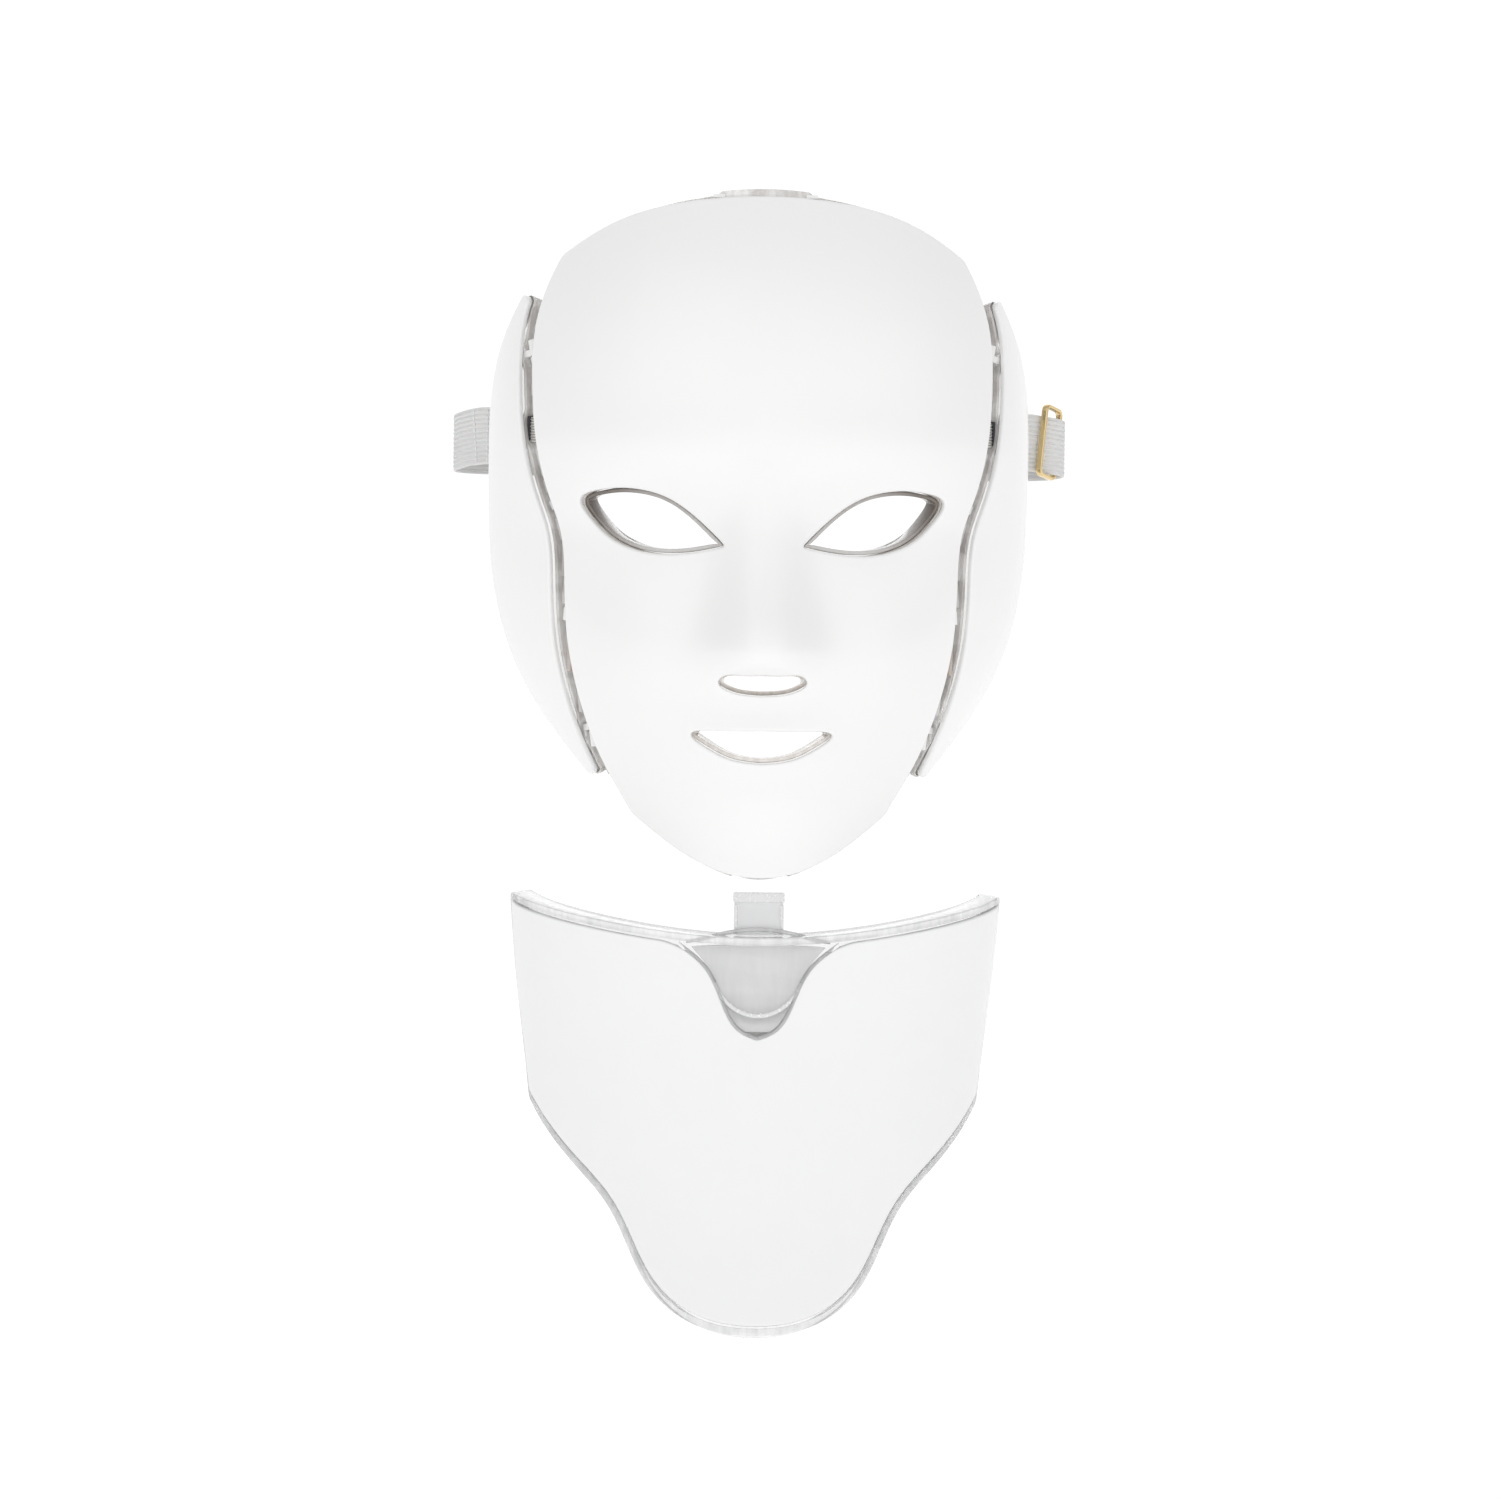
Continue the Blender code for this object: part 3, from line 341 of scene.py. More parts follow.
def four_sided(form, bottom, side, top, spacing, growth, rounding, evening):
    """The outline of a shape that is the same on both sides, moved outwards.

    Growth gives how far each edge moves, as a number or as a function of (u, z).
    """
    right = curve(form.spread(side[::-1]), spacing)
    edges = {
        "bottom": curve(form.spread(mirrored(bottom)), spacing),
        "side": right,
        "top": curve(form.spread(mirrored(top)), spacing)[::-1],
        "other_side": right[::-1] * (-1, 1),
    }
    reach = []
    for name, edge in edges.items():
        wanted = growth.get(name.replace("other_", ""), 0.0)
        u, z = edge[:-1].T
        reach.append(wanted(u, z) if callable(wanted) else np.full(len(u), wanted))
    loop = softened(np.concatenate([edge[:-1] for edge in edges.values()]), rounding)
    return grown(loop, averaged(np.concatenate(reach), evening))


def room(loop):
    """How far each loop point can move inwards before it meets the other side."""
    normal = unit(-loop_normals(loop))
    step = np.roll(loop, -1, axis=0) - loop
    result = np.full(len(loop), 1e3)
    for k in range(len(loop)):
        origin = loop[k] + 0.05 * normal[k]
        delta = loop - origin
        cross = normal[k, 0] * step[:, 1] - normal[k, 1] * step[:, 0]
        with np.errstate(divide="ignore", invalid="ignore"):
            along = (delta[:, 0] * step[:, 1] - delta[:, 1] * step[:, 0]) / cross
            place = (delta[:, 0] * normal[k, 1] - delta[:, 1] * normal[k, 0]) / cross
        hit = (along > 0) & (place >= 0) & (place <= 1)
        if hit.any():
            result[k] = along[hit].min()
    return result


def drawn_in(loop, distance):
    """A loop made smaller, but by less where its corners are tight."""
    share = eased(np.minimum(1.0, 0.38 * room(loop) / distance), 6, 0.02)
    return softened(grown(loop, -distance * share), 3)


def inside(points, loop):
    """Which points lie within a closed loop."""
    result = np.zeros(len(points), bool)
    for (x0, z0), (x1, z1) in zip(loop, np.roll(loop, -1, axis=0)):
        if z0 == z1:
            continue
        crosses = (points[:, 1] > min(z0, z1)) & (points[:, 1] <= max(z0, z1))
        at = x0 + (points[:, 1] - z0) * (x1 - x0) / (z1 - z0)
        result ^= crosses & (points[:, 0] < at)
    return result


def fill(loops, spacing):
    """Triangles inside the first loop and outside the others; loop points come first."""
    rim = np.concatenate(loops)
    edges = []
    first = 0
    for loop in loops:
        count = len(loop)
        edges += [(first + k, first + (k + 1) % count) for k in range(count)]
        first += count
    low = loops[0].min(axis=0)
    high = loops[0].max(axis=0)
    rows = np.arange(low[1], high[1], spacing * 0.87)
    columns = np.arange(low[0], high[0], spacing)
    grid = np.array([(x + (0.5 * spacing if j % 2 else 0.0), z)
                     for j, z in enumerate(rows) for x in columns])
    keep = inside(grid, loops[0])
    for hole in loops[1:]:
        keep &= ~inside(grid, hole)
    grid = grid[keep]
    tree = kdtree.KDTree(len(rim))
    for k, point in enumerate(rim):
        tree.insert((point[0], point[1], 0.0), k)
    tree.balance()
    far = [tree.find((x, z, 0.0))[2] > 0.62 * spacing for x, z in grid]
    points = np.concatenate([rim, grid[np.array(far, bool)]])
    verts, _, faces, origin, _, _ = delaunay_2d_cdt([Vector(p) for p in points], edges, [], 0, 1e-5)
    verts = np.array([tuple(v) for v in verts])
    centres = np.array([verts[list(face)].mean(axis=0) for face in faces])
    keep = inside(centres, loops[0])
    for hole in loops[1:]:
        keep &= ~inside(centres, hole)
    where = {}
    for k, sources in enumerate(origin):
        for source in sources:
            where[source] = k
    faces = [tuple(face) for face, wanted in zip(faces, keep) if wanted]
    return verts, faces, [where[k] for k in range(len(rim))]


# --- mesh builders -----------------------------------------------------------
def border(grid):
    """The outermost entries of a grid, in order round it."""
    return np.concatenate([grid[0, :-1], grid[:-1, -1], grid[-1, :0:-1], grid[:0:-1, 0]])


def strip(lower, upper):
    """Quads between two rings of vertex numbers."""
    after = [*range(1, len(lower)), 0]
    return [(lower[k], lower[n], upper[n], upper[k]) for k, n in enumerate(after)]


def bands(count, size, closed):
    """Quads between rings of one size that are numbered one after another."""
    faces = []
    for k in range(count if closed else count - 1):
        n = (k + 1) % count
        faces += strip(range(k * size, (k + 1) * size), range(n * size, (n + 1) * size))
    return faces


def sheet_faces(rows, columns):
    """Quads over both layers of a sheet and round its rim."""
    size = rows * columns
    faces = []
    for j in range(rows - 1):
        for k in range(j * columns, (j + 1) * columns - 1):
            quad = (k, k + 1, k + columns + 1, k + columns)
            faces += [quad, tuple(size + n for n in reversed(quad))]
    rim = border(np.arange(size).reshape(rows, columns)).tolist()
    return faces + strip(rim, [size + k for k in rim])


def linked(name, data):
    """A new object in the scene."""
    item = bpy.data.objects.new(name, data)
    bpy.context.scene.collection.objects.link(item)
    return item


def new_object(name, points, faces, shader, smooth=40, slots=None, flip=False):
    """A smooth-shaded object from millimetre points, its faces turned out."""
    points = np.asarray(points) * ((-1, 1, 1) if flip else (1, 1, 1))
    mesh = bpy.data.meshes.new(name)
    mesh.from_pydata([tuple(point) for point in points * MM], [], faces)
    bm = bmesh.new()
    bm.from_mesh(mesh)
    bmesh.ops.recalc_face_normals(bm, faces=bm.faces)
    bm.to_mesh(mesh)
    bm.free()
    shaders = shader if isinstance(shader, (list, tuple)) else [shader]
    for entry in shaders:
        mesh.materials.append(entry)
    if slots is not None:
        mesh.polygons.foreach_set("material_index", slots)
    mesh.shade_smooth()
    mesh.set_sharp_from_angle(angle=math.radians(smooth))
    return linked(name, mesh)


def shell(name, form, loops, profile, spacing, shader, flip=False, shares=None, walls=(0, 0),
          floor=None):
    """A curved plate with shaped edges.

    The loops are the outer edge and any holes. The profile runs from the front
    layer's edge to the back layer's, as (reach beyond the loop, depth). Shares
    scale the reach point by point where a loop has little room. Edge strips with
    a number in the range walls take the second shader, or round a hole the last.
    The floor is a least depth at each point of the outer edge, for a slot in it.
    """
    inset = profile[0][0]
    scales = [np.ones(len(loop)) for loop in loops] if shares is None else list(shares)
    scales = [scale if k == 0 else -scale for k, scale in enumerate(scales)]
    base = [grown(loop, scale * inset) for loop, scale in zip(loops, scales)]
    flat, faces, rim = fill(base, spacing)
    front = form.place(flat, profile[0][1])
    back = form.place(flat, profile[-1][1])
    points = [front, back]
    count = len(flat)
    polygons = faces + [tuple(count + k for k in reversed(face)) for face in faces]
    total = 2 * count
    slots = [0] * len(polygons)
    first = 0
    for loop, scale in zip(loops, scales):
        size = len(loop)
        previous = rim[first:first + size]
        slot = 1 if first == 0 else len(shader) - 1 if walls[1] else 0
        slots += [slot * (walls[0] <= k < walls[1]) for k in range(1, len(profile))
                  for _ in loop]
        for reach, depth in profile[1:-1]:
            if floor is not None and first == 0:
                depth = np.where(depth < floor, floor + 0.02 * (depth - floor), depth)
            points.append(form.place(grown(loop, scale * reach), depth))
            here = range(total, total + size)
            total += size
            polygons += strip(previous, here)
            previous = here
        polygons += strip(previous, [count + k for k in rim[first:first + size]])
        first += size
    return new_object(name, np.concatenate(points), polygons, shader, slots=slots, flip=flip)


def cover_profile(radius):
    """A plate edge rounded in front and eased behind."""
    wall = COVER_WALL
    quarter = np.linspace(0, math.pi / 2, 5)
    front = [(-radius + radius * math.sin(a), radius - radius * math.cos(a)) for a in quarter]
    return [(-radius - 0.3, 0.0)] + front + [(0.0, wall - 0.3), (-0.3, wall), (-radius - 0.3, wall)]


def tray_profile(rim_level, wall):
    """A lens edge: the cavity plate, its wall up to the cover, and the outer side."""
    front, back = LENS_FRONT, LENS_BACK
    inset = -wall - 1.2
    return [(inset, front), (-wall - 0.35, front - 0.12), (-wall, front - 0.6),
            (-wall, rim_level + 0.25), (-wall + 0.25, rim_level), (-0.3, rim_level),
            (0.0, rim_level + 0.3), (0.0, back - 1.1), (-0.2, back - 0.45), (-0.6, back - 0.1),
            (-1.1, back), (inset, back)]


def swept(path, section, closed, up=(0.0, 0.0, 1.0), pinch=None):
    """Points and faces of a section carried along a path.

    The section's first coordinate points sideways (tangent x up) and its second up;
    pinch scales the first from point to point.
    """
    path = np.asarray(path, float)
    if closed:
        tangent = np.roll(path, -1, axis=0) - np.roll(path, 1, axis=0)
    else:
        tangent = np.gradient(path, axis=0)
    tangent = unit(tangent)
    side = unit(np.cross(tangent, up))
    up = np.cross(side, tangent)
    section = np.asarray(section, float)
    if pinch is not None:
        side = side * np.reshape(pinch, (-1, 1))
    points = (path[:, None, :] + section[None, :, :1] * side[:, None, :]
              + section[None, :, 1:] * up[:, None, :]).reshape(-1, 3)
    size = len(section)
    faces = bands(len(path), size, closed)
    if not closed:
        faces.append(tuple(range(size)))
        faces.append(tuple((len(path) - 1) * size + k for k in reversed(range(size))))
    return points, faces


def circle(radius, sides):
    """A round section."""
    angles = np.linspace(0, 2 * math.pi, sides, endpoint=False)
    return np.stack([radius * np.cos(angles), radius * np.sin(angles)], axis=1)


def merged(parts):
    """Several (points, faces) meshes as one."""
    points = []
    faces = []
    total = 0
    for part_points, part_faces in parts:
        points.append(np.asarray(part_points, float))
        faces += [tuple(total + k for k in face) for face in part_faces]
        total += len(part_points)
    return np.concatenate(points), faces


def block(centre, axes, size, ease):
    """A box with eased edges, given its centre, three unit axes and its full size."""
    bm = bmesh.new()
    bmesh.ops.create_cube(bm, size=1.0)
    bmesh.ops.scale(bm, vec=size, verts=bm.verts)
    bmesh.ops.bevel(bm, geom=bm.edges[:], offset=min(ease, 0.45 * min(size)), segments=2,
                    affect="EDGES", profile=0.5)
    points = np.array([tuple(v.co) for v in bm.verts]) @ np.asarray(axes, float) + centre
    faces = [tuple(v.index for v in face.verts) for face in bm.faces]
    bm.free()
    return points, faces


# --- shaders -----------------------------------------------------------------
def add_node(tree, kind, inputs=None, **settings):
    """A shader node with its settings; its inputs are values or other nodes' outputs."""
    node = tree.nodes.new("ShaderNode" + kind)
    for key, value in settings.items():
        setattr(node, key, value)
    for key, value in (inputs or {}).items():
        if isinstance(value, bpy.types.NodeSocket):
            tree.links.new(value, node.inputs[key])
        else:
            node.inputs[key].default_value = value
    return node


class Shader:
    """A material whose look is built up from small named steps."""

    def __init__(self, name, **sockets):
        self.material = bpy.data.materials.new(name)
        self.material.use_nodes = True
        self.tree = self.material.node_tree
        self.principled = self.tree.nodes["Principled BSDF"]
        for key, value in sockets.items():
            self.principled.inputs[key.replace("_", " ")].default_value = value
        self.place = self.coordinates("Object")

    def coordinates(self, kind):
        return add_node(self.tree, "TexCoord").outputs[kind]

    def along(self, axis):
        """The place along one axis, in metres."""
        return add_node(self.tree, "SeparateXYZ", {0: self.place}).outputs[axis]

    def noise(self, size, detail, stretch=(1, 1, 1)):
        """Smooth noise from 0 to 1, with features of a size in mm."""
        factor = 1 / (size * MM)
        scaled = add_node(self.tree, "Mapping", {"Scale": [factor * s for s in stretch],
                                                 "Vector": self.place})
        return add_node(self.tree, "TexNoise", {"Scale": 1.0, "Detail": detail, "Roughness": 0.55,
                                                "Vector": scaled.outputs["Vector"]}).outputs["Fac"]

    def waves(self, size, axis, distortion):
        """Parallel ribs of a pitch in mm along one axis."""
        return add_node(self.tree, "TexWave", {"Scale": math.pi / (10 * size * MM),
                                               "Distortion": distortion, "Vector": self.place},
                        wave_type="BANDS", bands_direction=axis, wave_profile="SIN").outputs["Fac"]

    def ramp(self, value, low, high, start=0.0, stop=1.0):
        """A value mapped from start..stop onto low..high."""
        return add_node(self.tree, "MapRange", {
            "Value": value, "From Min": start, "From Max": stop, "To Min": low, "To Max": high,
        }).outputs["Result"]

    def colours(self, value, first, second):
        """A mix of two colours."""
        mixed = {"Factor": value, "A": (*first, 1.0), "B": (*second, 1.0)}
        return add_node(self.tree, "Mix", mixed, data_type="RGBA").outputs["Result"]

    def sum(self, first, second, share):
        """The first value with a share of the second added."""
        return add_node(self.tree, "Math", {0: second, 1: share, 2: first},
                        operation="MULTIPLY_ADD").outputs[0]

    def product(self, first, second):
        return add_node(self.tree, "Math", {0: first, 1: second}, operation="MULTIPLY").outputs[0]

    def finished(self, colour, roughness, height, depth):
        """The material with its colour, its roughness, and relief of a depth in mm."""
        relief = add_node(self.tree, "Bump", {"Strength": 1.0, "Distance": depth * MM,
                                              "Height": height})
        wanted = {"Base Color": colour, "Roughness": roughness, "Normal": relief.outputs["Normal"]}
        for name, socket in wanted.items():
            self.tree.links.new(socket, self.principled.inputs[name])
        return self.material


def dimmed(tint, factor):
    return tuple(part * factor for part in tint)


def gloss_white(name, tint, roughness):
    """Piano-white moulding: a faint orange peel and handling haze."""
    shader = Shader(name, IOR=1.49, Coat_Weight=0.25, Coat_Roughness=0.1)
    warm = tuple(c * f for c, f in zip(tint, (1.0, 0.996, 0.988)))
    return shader.finished(
        shader.colours(shader.noise(60, 2), tint, warm),
        shader.ramp(shader.noise(28, 4), roughness * 0.8, roughness * 1.5, 0.3, 0.75),
        shader.sum(shader.noise(3.0, 2), shader.noise(0.5, 2), 0.12), 0.006)


def clear_plastic(name, tint, density):
    """Clear moulded plastic with a faint body tint, lighter than real glass."""
    shader = Shader(name, IOR=1.45, Transmission_Weight=density, Specular_IOR_Level=0.6)
    return shader.finished(shader.colours(shader.noise(22, 2), tint, dimmed(tint, 0.985)),
                           shader.ramp(shader.noise(14, 3), 0.015, 0.039, 0.3, 0.8),
                           shader.noise(6.0, 2), 0.006)


def wall_plastic(name, light, dark, density, mottle=1.0):
    """A clear wall seen edge-on: warm grey, in uneven lengths, with moulding streaks."""
    shader = Shader(name, IOR=1.45, Transmission_Weight=density, Coat_Weight=0.5,
                    Coat_Roughness=0.04)
    lengths = shader.ramp(shader.noise(8, 1.5, (0.25, 0.25, 1)), 0, 1, 0.47, 0.53)
    streaks = shader.noise(2.2, 4, (1, 1, 0.2))
    shade = shader.sum(shader.ramp(streaks, 0, 0.7 * mottle, 0.38, 0.66), lengths, 0.4 * mottle)
    return shader.finished(shader.colours(shade, light, dark), shader.ramp(streaks, 0.06, 0.2),
                           shader.sum(streaks, lengths, 0.5), 0.05 * mottle)


def eye_wall_plastic(name, light, dark):
    """The eye walls, with painted shade: darker at the outer corners and on the upper wall, paler
    underneath and inwards.
    """
    shader = Shader(name, IOR=1.45, Transmission_Weight=0.1, Coat_Weight=0.6, Coat_Roughness=0.05)
    across = shader.along("X")
    # painted shade: the walls darken towards the eyes' outer corners
    outer = shader.ramp(shader.product(across, across), 0, 0.75, 0.036 ** 2, 0.060 ** 2)
    # painted shade: the upper walls are darker than the lower ones
    painted_top_shade = shader.ramp(shader.along("Z"), 0, 0.45, -0.010, 0.008)
    streaks = shader.noise(3.0, 3, (1, 1, 0.4))
    shade = shader.sum(shader.sum(outer, painted_top_shade, 1.0), streaks, 0.18)
    return shader.finished(shader.colours(shade, light, dark), shader.ramp(streaks, 0.08, 0.2),
                           streaks, 0.03)


def webbing_finish(name, rib_pitch, tint):
    """Ribbed elastic: ribs run along the strap, fine weft threads across it; painted shade darkens
    the weave's hollows.
    """
    shader = Shader(name, Sheen_Weight=0.35, Sheen_Roughness=0.4, Specular_IOR_Level=0.25,
                    Subsurface_Weight=0.05, Subsurface_Scale=0.002)
    shader.place = shader.coordinates("UV")
    ribs = shader.waves(rib_pitch, "Y", 0.4)
    threads = shader.waves(0.55, "X", 1.2)
    fuzz = shader.noise(0.6, 4)
    weave_and_painted_shade = shader.sum(shader.product(threads, ribs), fuzz, 0.35)
    return shader.finished(
        # painted shade: the colour darkens where the weave sits low, with some random fuzz
        shader.colours(shader.ramp(weave_and_painted_shade, 0, 1, 0.05, 0.75), dimmed(tint, 0.80), tint),
        shader.ramp(fuzz, 0.75, 0.95), shader.sum(weave_and_painted_shade, ribs, 0.8), 0.22)


def board_finish(name, tint, roughness):
    """Solder mask: slightly mottled, with faint tracks under it."""
    shader = Shader(name, Specular_IOR_Level=0.5)
    tracks = shader.ramp(shader.waves(2.4, "X", 3.0), 0, 1, 0.72, 0.80)
    mottle = shader.noise(5, 4)
    shade = shader.sum(mottle, tracks, 0.35)
    return shader.finished(shader.colours(shade, tint, dimmed(tint, 0.9)),
                           shader.ramp(mottle, roughness * 0.8, roughness * 1.3),
                           shader.sum(tracks, mottle, 0.1), 0.05)


def metal_finish(name, tint, roughness, grain=(1, 1, 18)):
    """Plated or ground metal with fine streaks and worn, duller patches."""
    shader = Shader(name, Metallic=1.0)
    streaks = shader.noise(1.6, 5, grain)
    patches = shader.noise(6, 3)
    wear = shader.sum(streaks, patches, 0.4)
    return shader.finished(shader.colours(patches, tint, dimmed(tint, 0.86)),
                           shader.ramp(wear, roughness * 0.7, roughness * 1.7, 0.3, 1.0),
                           streaks, 0.012)


def moulded_finish(name, tint, roughness, texture=0.02, grain=0.35, shade=0.9, **sockets):
    """Plain moulded plastic with a fine spark-eroded texture."""
    shader = Shader(name, **sockets)
    fine = shader.noise(grain, 3)
    return shader.finished(shader.colours(shader.noise(9, 3), tint, dimmed(tint, shade)),
                           shader.ramp(fine, roughness * 0.8, roughness * 1.3), fine, texture)


def ribbon_finish(name):
    """Flat cable: silver conductors under a warm translucent film."""
    shader = Shader(name, Coat_Weight=0.6, Coat_Roughness=0.12)
    wires = shader.waves(CABLE_PITCH, "Z", 0.0)
    share = shader.ramp(wires, 0, 1, 0.35, 0.65)
    return shader.finished(shader.colours(share, (0.70, 0.68, 0.63), (0.30, 0.29, 0.28)),
                           shader.ramp(wires, 0.5, 0.25), share, 0.08)


WHITE = gloss_white("white_shell_gloss", (0.925, 0.925, 0.928), 0.17)
WHITE_PART = gloss_white("white_part_gloss", (0.88, 0.88, 0.875), 0.2)
CLEAR = clear_plastic("clear_lens_body", (0.985, 0.98, 0.972), 0.96)
WALL = wall_plastic("clear_wall_edge", (0.91, 0.895, 0.88), (0.58, 0.555, 0.535), 0.3)
OPENING_EDGE = wall_plastic("opening_wall_edge", (0.86, 0.82, 0.78), (0.66, 0.61, 0.56), 0.15)
# its dark colour is painted shade at the eyes' outer corners and upper walls
EYE_WALL_SHADED = eye_wall_plastic("eye_wall_painted_shade", (0.78, 0.765, 0.75), (0.20, 0.17, 0.15))
STRUT = wall_plastic("clear_strut", (0.80, 0.785, 0.77), (0.60, 0.58, 0.565), 0.3)
# a darker copy of the strut finish: painted shade on some of the seam's parts
SHADED = wall_plastic("strut_painted_shade", (0.62, 0.60, 0.585), (0.46, 0.44, 0.425), 0.25)
ADHESIVE = wall_plastic("adhesive_bead", (0.66, 0.61, 0.56), (0.50, 0.40, 0.31), 0.25)
CLEAR_NECK = clear_plastic("clear_neck_body", (0.975, 0.976, 0.978), 0.95)
NECK_EDGE = wall_plastic("clear_neck_edge", (0.88, 0.88, 0.88), (0.62, 0.62, 0.63), 0.4, 0.7)
SMOKE = wall_plastic("smoked_recess", (0.83, 0.83, 0.83), (0.68, 0.68, 0.685), 0.25, 0.3)
FROSTED = moulded_finish("frosted_panel_body", (0.945, 0.946, 0.948), 0.18, 0.003, 2.5, 0.98,
                         Transmission_Weight=0.06, Coat_Weight=0.4, Coat_Roughness=0.08)
TAB_LIP = moulded_finish("frosted_tab_lip", (0.96, 0.96, 0.962), 0.25, 0.01, 1.2,
                         Transmission_Weight=0.2)
TAB_FINISH = moulded_finish("frosted_tab_body", (0.88, 0.885, 0.89), 0.3, 0.01, 1.2,
                            Transmission_Weight=0.55, IOR=1.45)
BOARD = board_finish("led_board_mask", (0.86, 0.87, 0.85), 0.4)
CONTROL = board_finish("control_board_mask", (0.05, 0.24, 0.12), 0.35)
LED_BODY = moulded_finish("led_package", (0.90, 0.89, 0.86), 0.35)
LED_DOME = moulded_finish("led_dome", (0.93, 0.74, 0.30), 0.08, 0.004, 0.8,
                          Transmission_Weight=0.3, Coat_Weight=0.6)
CHIP = moulded_finish("chip_resin", (0.035, 0.035, 0.04), 0.45, 0.02, 0.2)
SOLDER = metal_finish("solder", (0.72, 0.73, 0.75), 0.3, (1, 1, 1))
BLACK = moulded_finish("inlet_black_body", (0.03, 0.03, 0.034), 0.4, 0.03)
GOLD = metal_finish("gold_plate", (0.83, 0.64, 0.33), 0.16)
STEEL = metal_finish("ground_steel", (0.68, 0.69, 0.71), 0.24)
RIBBON = ribbon_finish("ribbon_film")
WEBBING = webbing_finish("webbing_rib", 1.6, (0.90, 0.90, 0.895))
THREAD = moulded_finish("stitch_thread", (0.93, 0.93, 0.92), 0.7, 0.05, 0.3, Sheen_Weight=0.3)


# --- attaching ---------------------------------------------------------------
def stands_for(item, body, slot, *nodes):
    """A piece rides on a body and replaces CAD nodes; the slot is not used."""
    if nodes:
        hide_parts(*nodes)
    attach(item, body)


def side_name(flip):
    return "left" if flip else "right"


# --- the centre: cover, lens -------------------------------------------------
def seam_x(z):
    side = curve(CENTRE_SIDE[::-1], 1.0)
    return np.interp(z, side[:, 1], side[:, 0])


def seam_lip(z):
    """How far a lens stands into the seam: not at the hinges and the flat cable."""
    lip = np.full(np.shape(z), LENS_PROUD)
    for height in HINGE_HEIGHTS.values():
        lip[np.abs(z - height) < HINGE_TAB / 2 + RETREAT_MARGIN] = LENS_RETREAT
    lip[np.abs(z - RIBBON_Z) < RIBBON_HEIGHT / 2 + RETREAT_MARGIN] = LENS_RETREAT
    return lip


def centre_loop(growth):
    """The cover's outline, moved outwards by its edges' growth."""
    return four_sided(MASK, CENTRE_BOTTOM, CENTRE_SIDE, CENTRE_TOP, OUTLINE_STEP, growth, 3, 2)


def opening_loops():
    """The cover's openings in the development: eyes, nose and mouth."""
    eye = curve(EYE + [EYE[0]], OUTLINE_STEP)[:-1]
    loops = [eye, eye * (-1, 1)]
    loops += [both_sides(curve(half, OUTLINE_STEP))[:-1] for half in (NOSE_OPENING, MOUTH_OPENING)]
    return [softened(MASK.spread(loop), 2) for loop in loops]


def make_centre():
    """The cover, the lens behind it and the rims that line the eyes."""
    openings = opening_loops()
    cover = shell("cover_centre", MASK, [centre_loop({})] + openings, cover_profile(0.8),
                  COVER_MESH, WHITE)
    stands_for(cover, "mask", "white_shell", "front_cover")
    outline = centre_loop({"bottom": LENS_LIP, "side": lambda u, z: seam_lip(z),
                           "top": lambda u, z: LENS_LIP + TOP_LIP * np.exp(-(u / 45.0) ** 2)})
    eyes = openings[:2]
    holes = [drawn_in(loop, OPENING_LIP - OPENING_WALL - 0.3) for loop in eyes]
    for loop in openings[2:]:
        # the lip shows under an opening and hardly at all over it
        lip = OPENING_LIP * np.clip(0.55 - loop_normals(loop)[:, 1], 0.05, 1.0)
        holes.append(drawn_in(loop, lip))
    edge = MASK.place(outline, 2.6)
    at_tab = (np.abs(edge[:, 0]) < CHIN_SLOT) & (edge[:, 2] < -110)
    lens = shell("lens_centre", MASK, [outline] + holes,
                 tray_profile(COVER_WALL + RIM_GAP, LENS_WALL), LENS_MESH,
                 [CLEAR, WALL, OPENING_EDGE], walls=TRAY_WALLS,
                 floor=np.where(at_tab, LENS_FRONT - 0.3, -1.0))
    stands_for(lens, "mask", "clear_lens", "inner_lens")
    for name, loop in zip(("right_eye_rim", "left_eye_rim"), eyes):
        make_eye_rim(name, loop)


def make_eye_rim(node, loop):
    """A wall with eased edges that lines an eye opening."""
    outer = drawn_in(loop, OPENING_LIP - OPENING_WALL)
    inner = drawn_in(loop, OPENING_LIP)
    back = EYE_RIM_BACK
    section = [(0.0, back - 0.4), (0.0, 2.9), (0.1, 2.6), (0.3, 2.45), (0.7, 2.45), (0.9, 2.6),
               (1.0, 2.9), (1.0, back - 0.4), (0.9, back - 0.12), (0.7, back), (0.3, back),
               (0.1, back - 0.12)]
    rings = [MASK.place(outer + (inner - outer) * share, depth) for share, depth in section]
    rim = new_object("wall_" + node, np.concatenate(rings), bands(len(rings), len(loop), True),
                     EYE_WALL_SHADED, 50)
    stands_for(rim, "mask", "clear_lens", node)


# --- wings -------------------------------------------------------------------
def wing_loop(seam_shift, lip):
    """The right wing's outline: up its seam edge and down its rear edge."""
    heights = np.linspace(WING_BOTTOM_Z - lip, WING_TOP_Z + lip, int(170 / OUTLINE_STEP))
    seam = MASK.spread(np.stack([seam_x(heights) + SEAM, heights], axis=1))
    seam[:, 0] -= seam_shift(heights)
    rear = curve(MASK.spread(WING_REAR), OUTLINE_STEP)
    tangent = unit(np.gradient(rear, axis=0))
    rear = rear + np.stack([-tangent[:, 1], tangent[:, 0]], axis=1) * lip
    rear[:, 0] = np.maximum(rear[:, 0], np.interp(rear[:, 1], seam[:, 1], seam[:, 0]) + 1.4)
    return softened(np.concatenate([seam, rear]), 3)


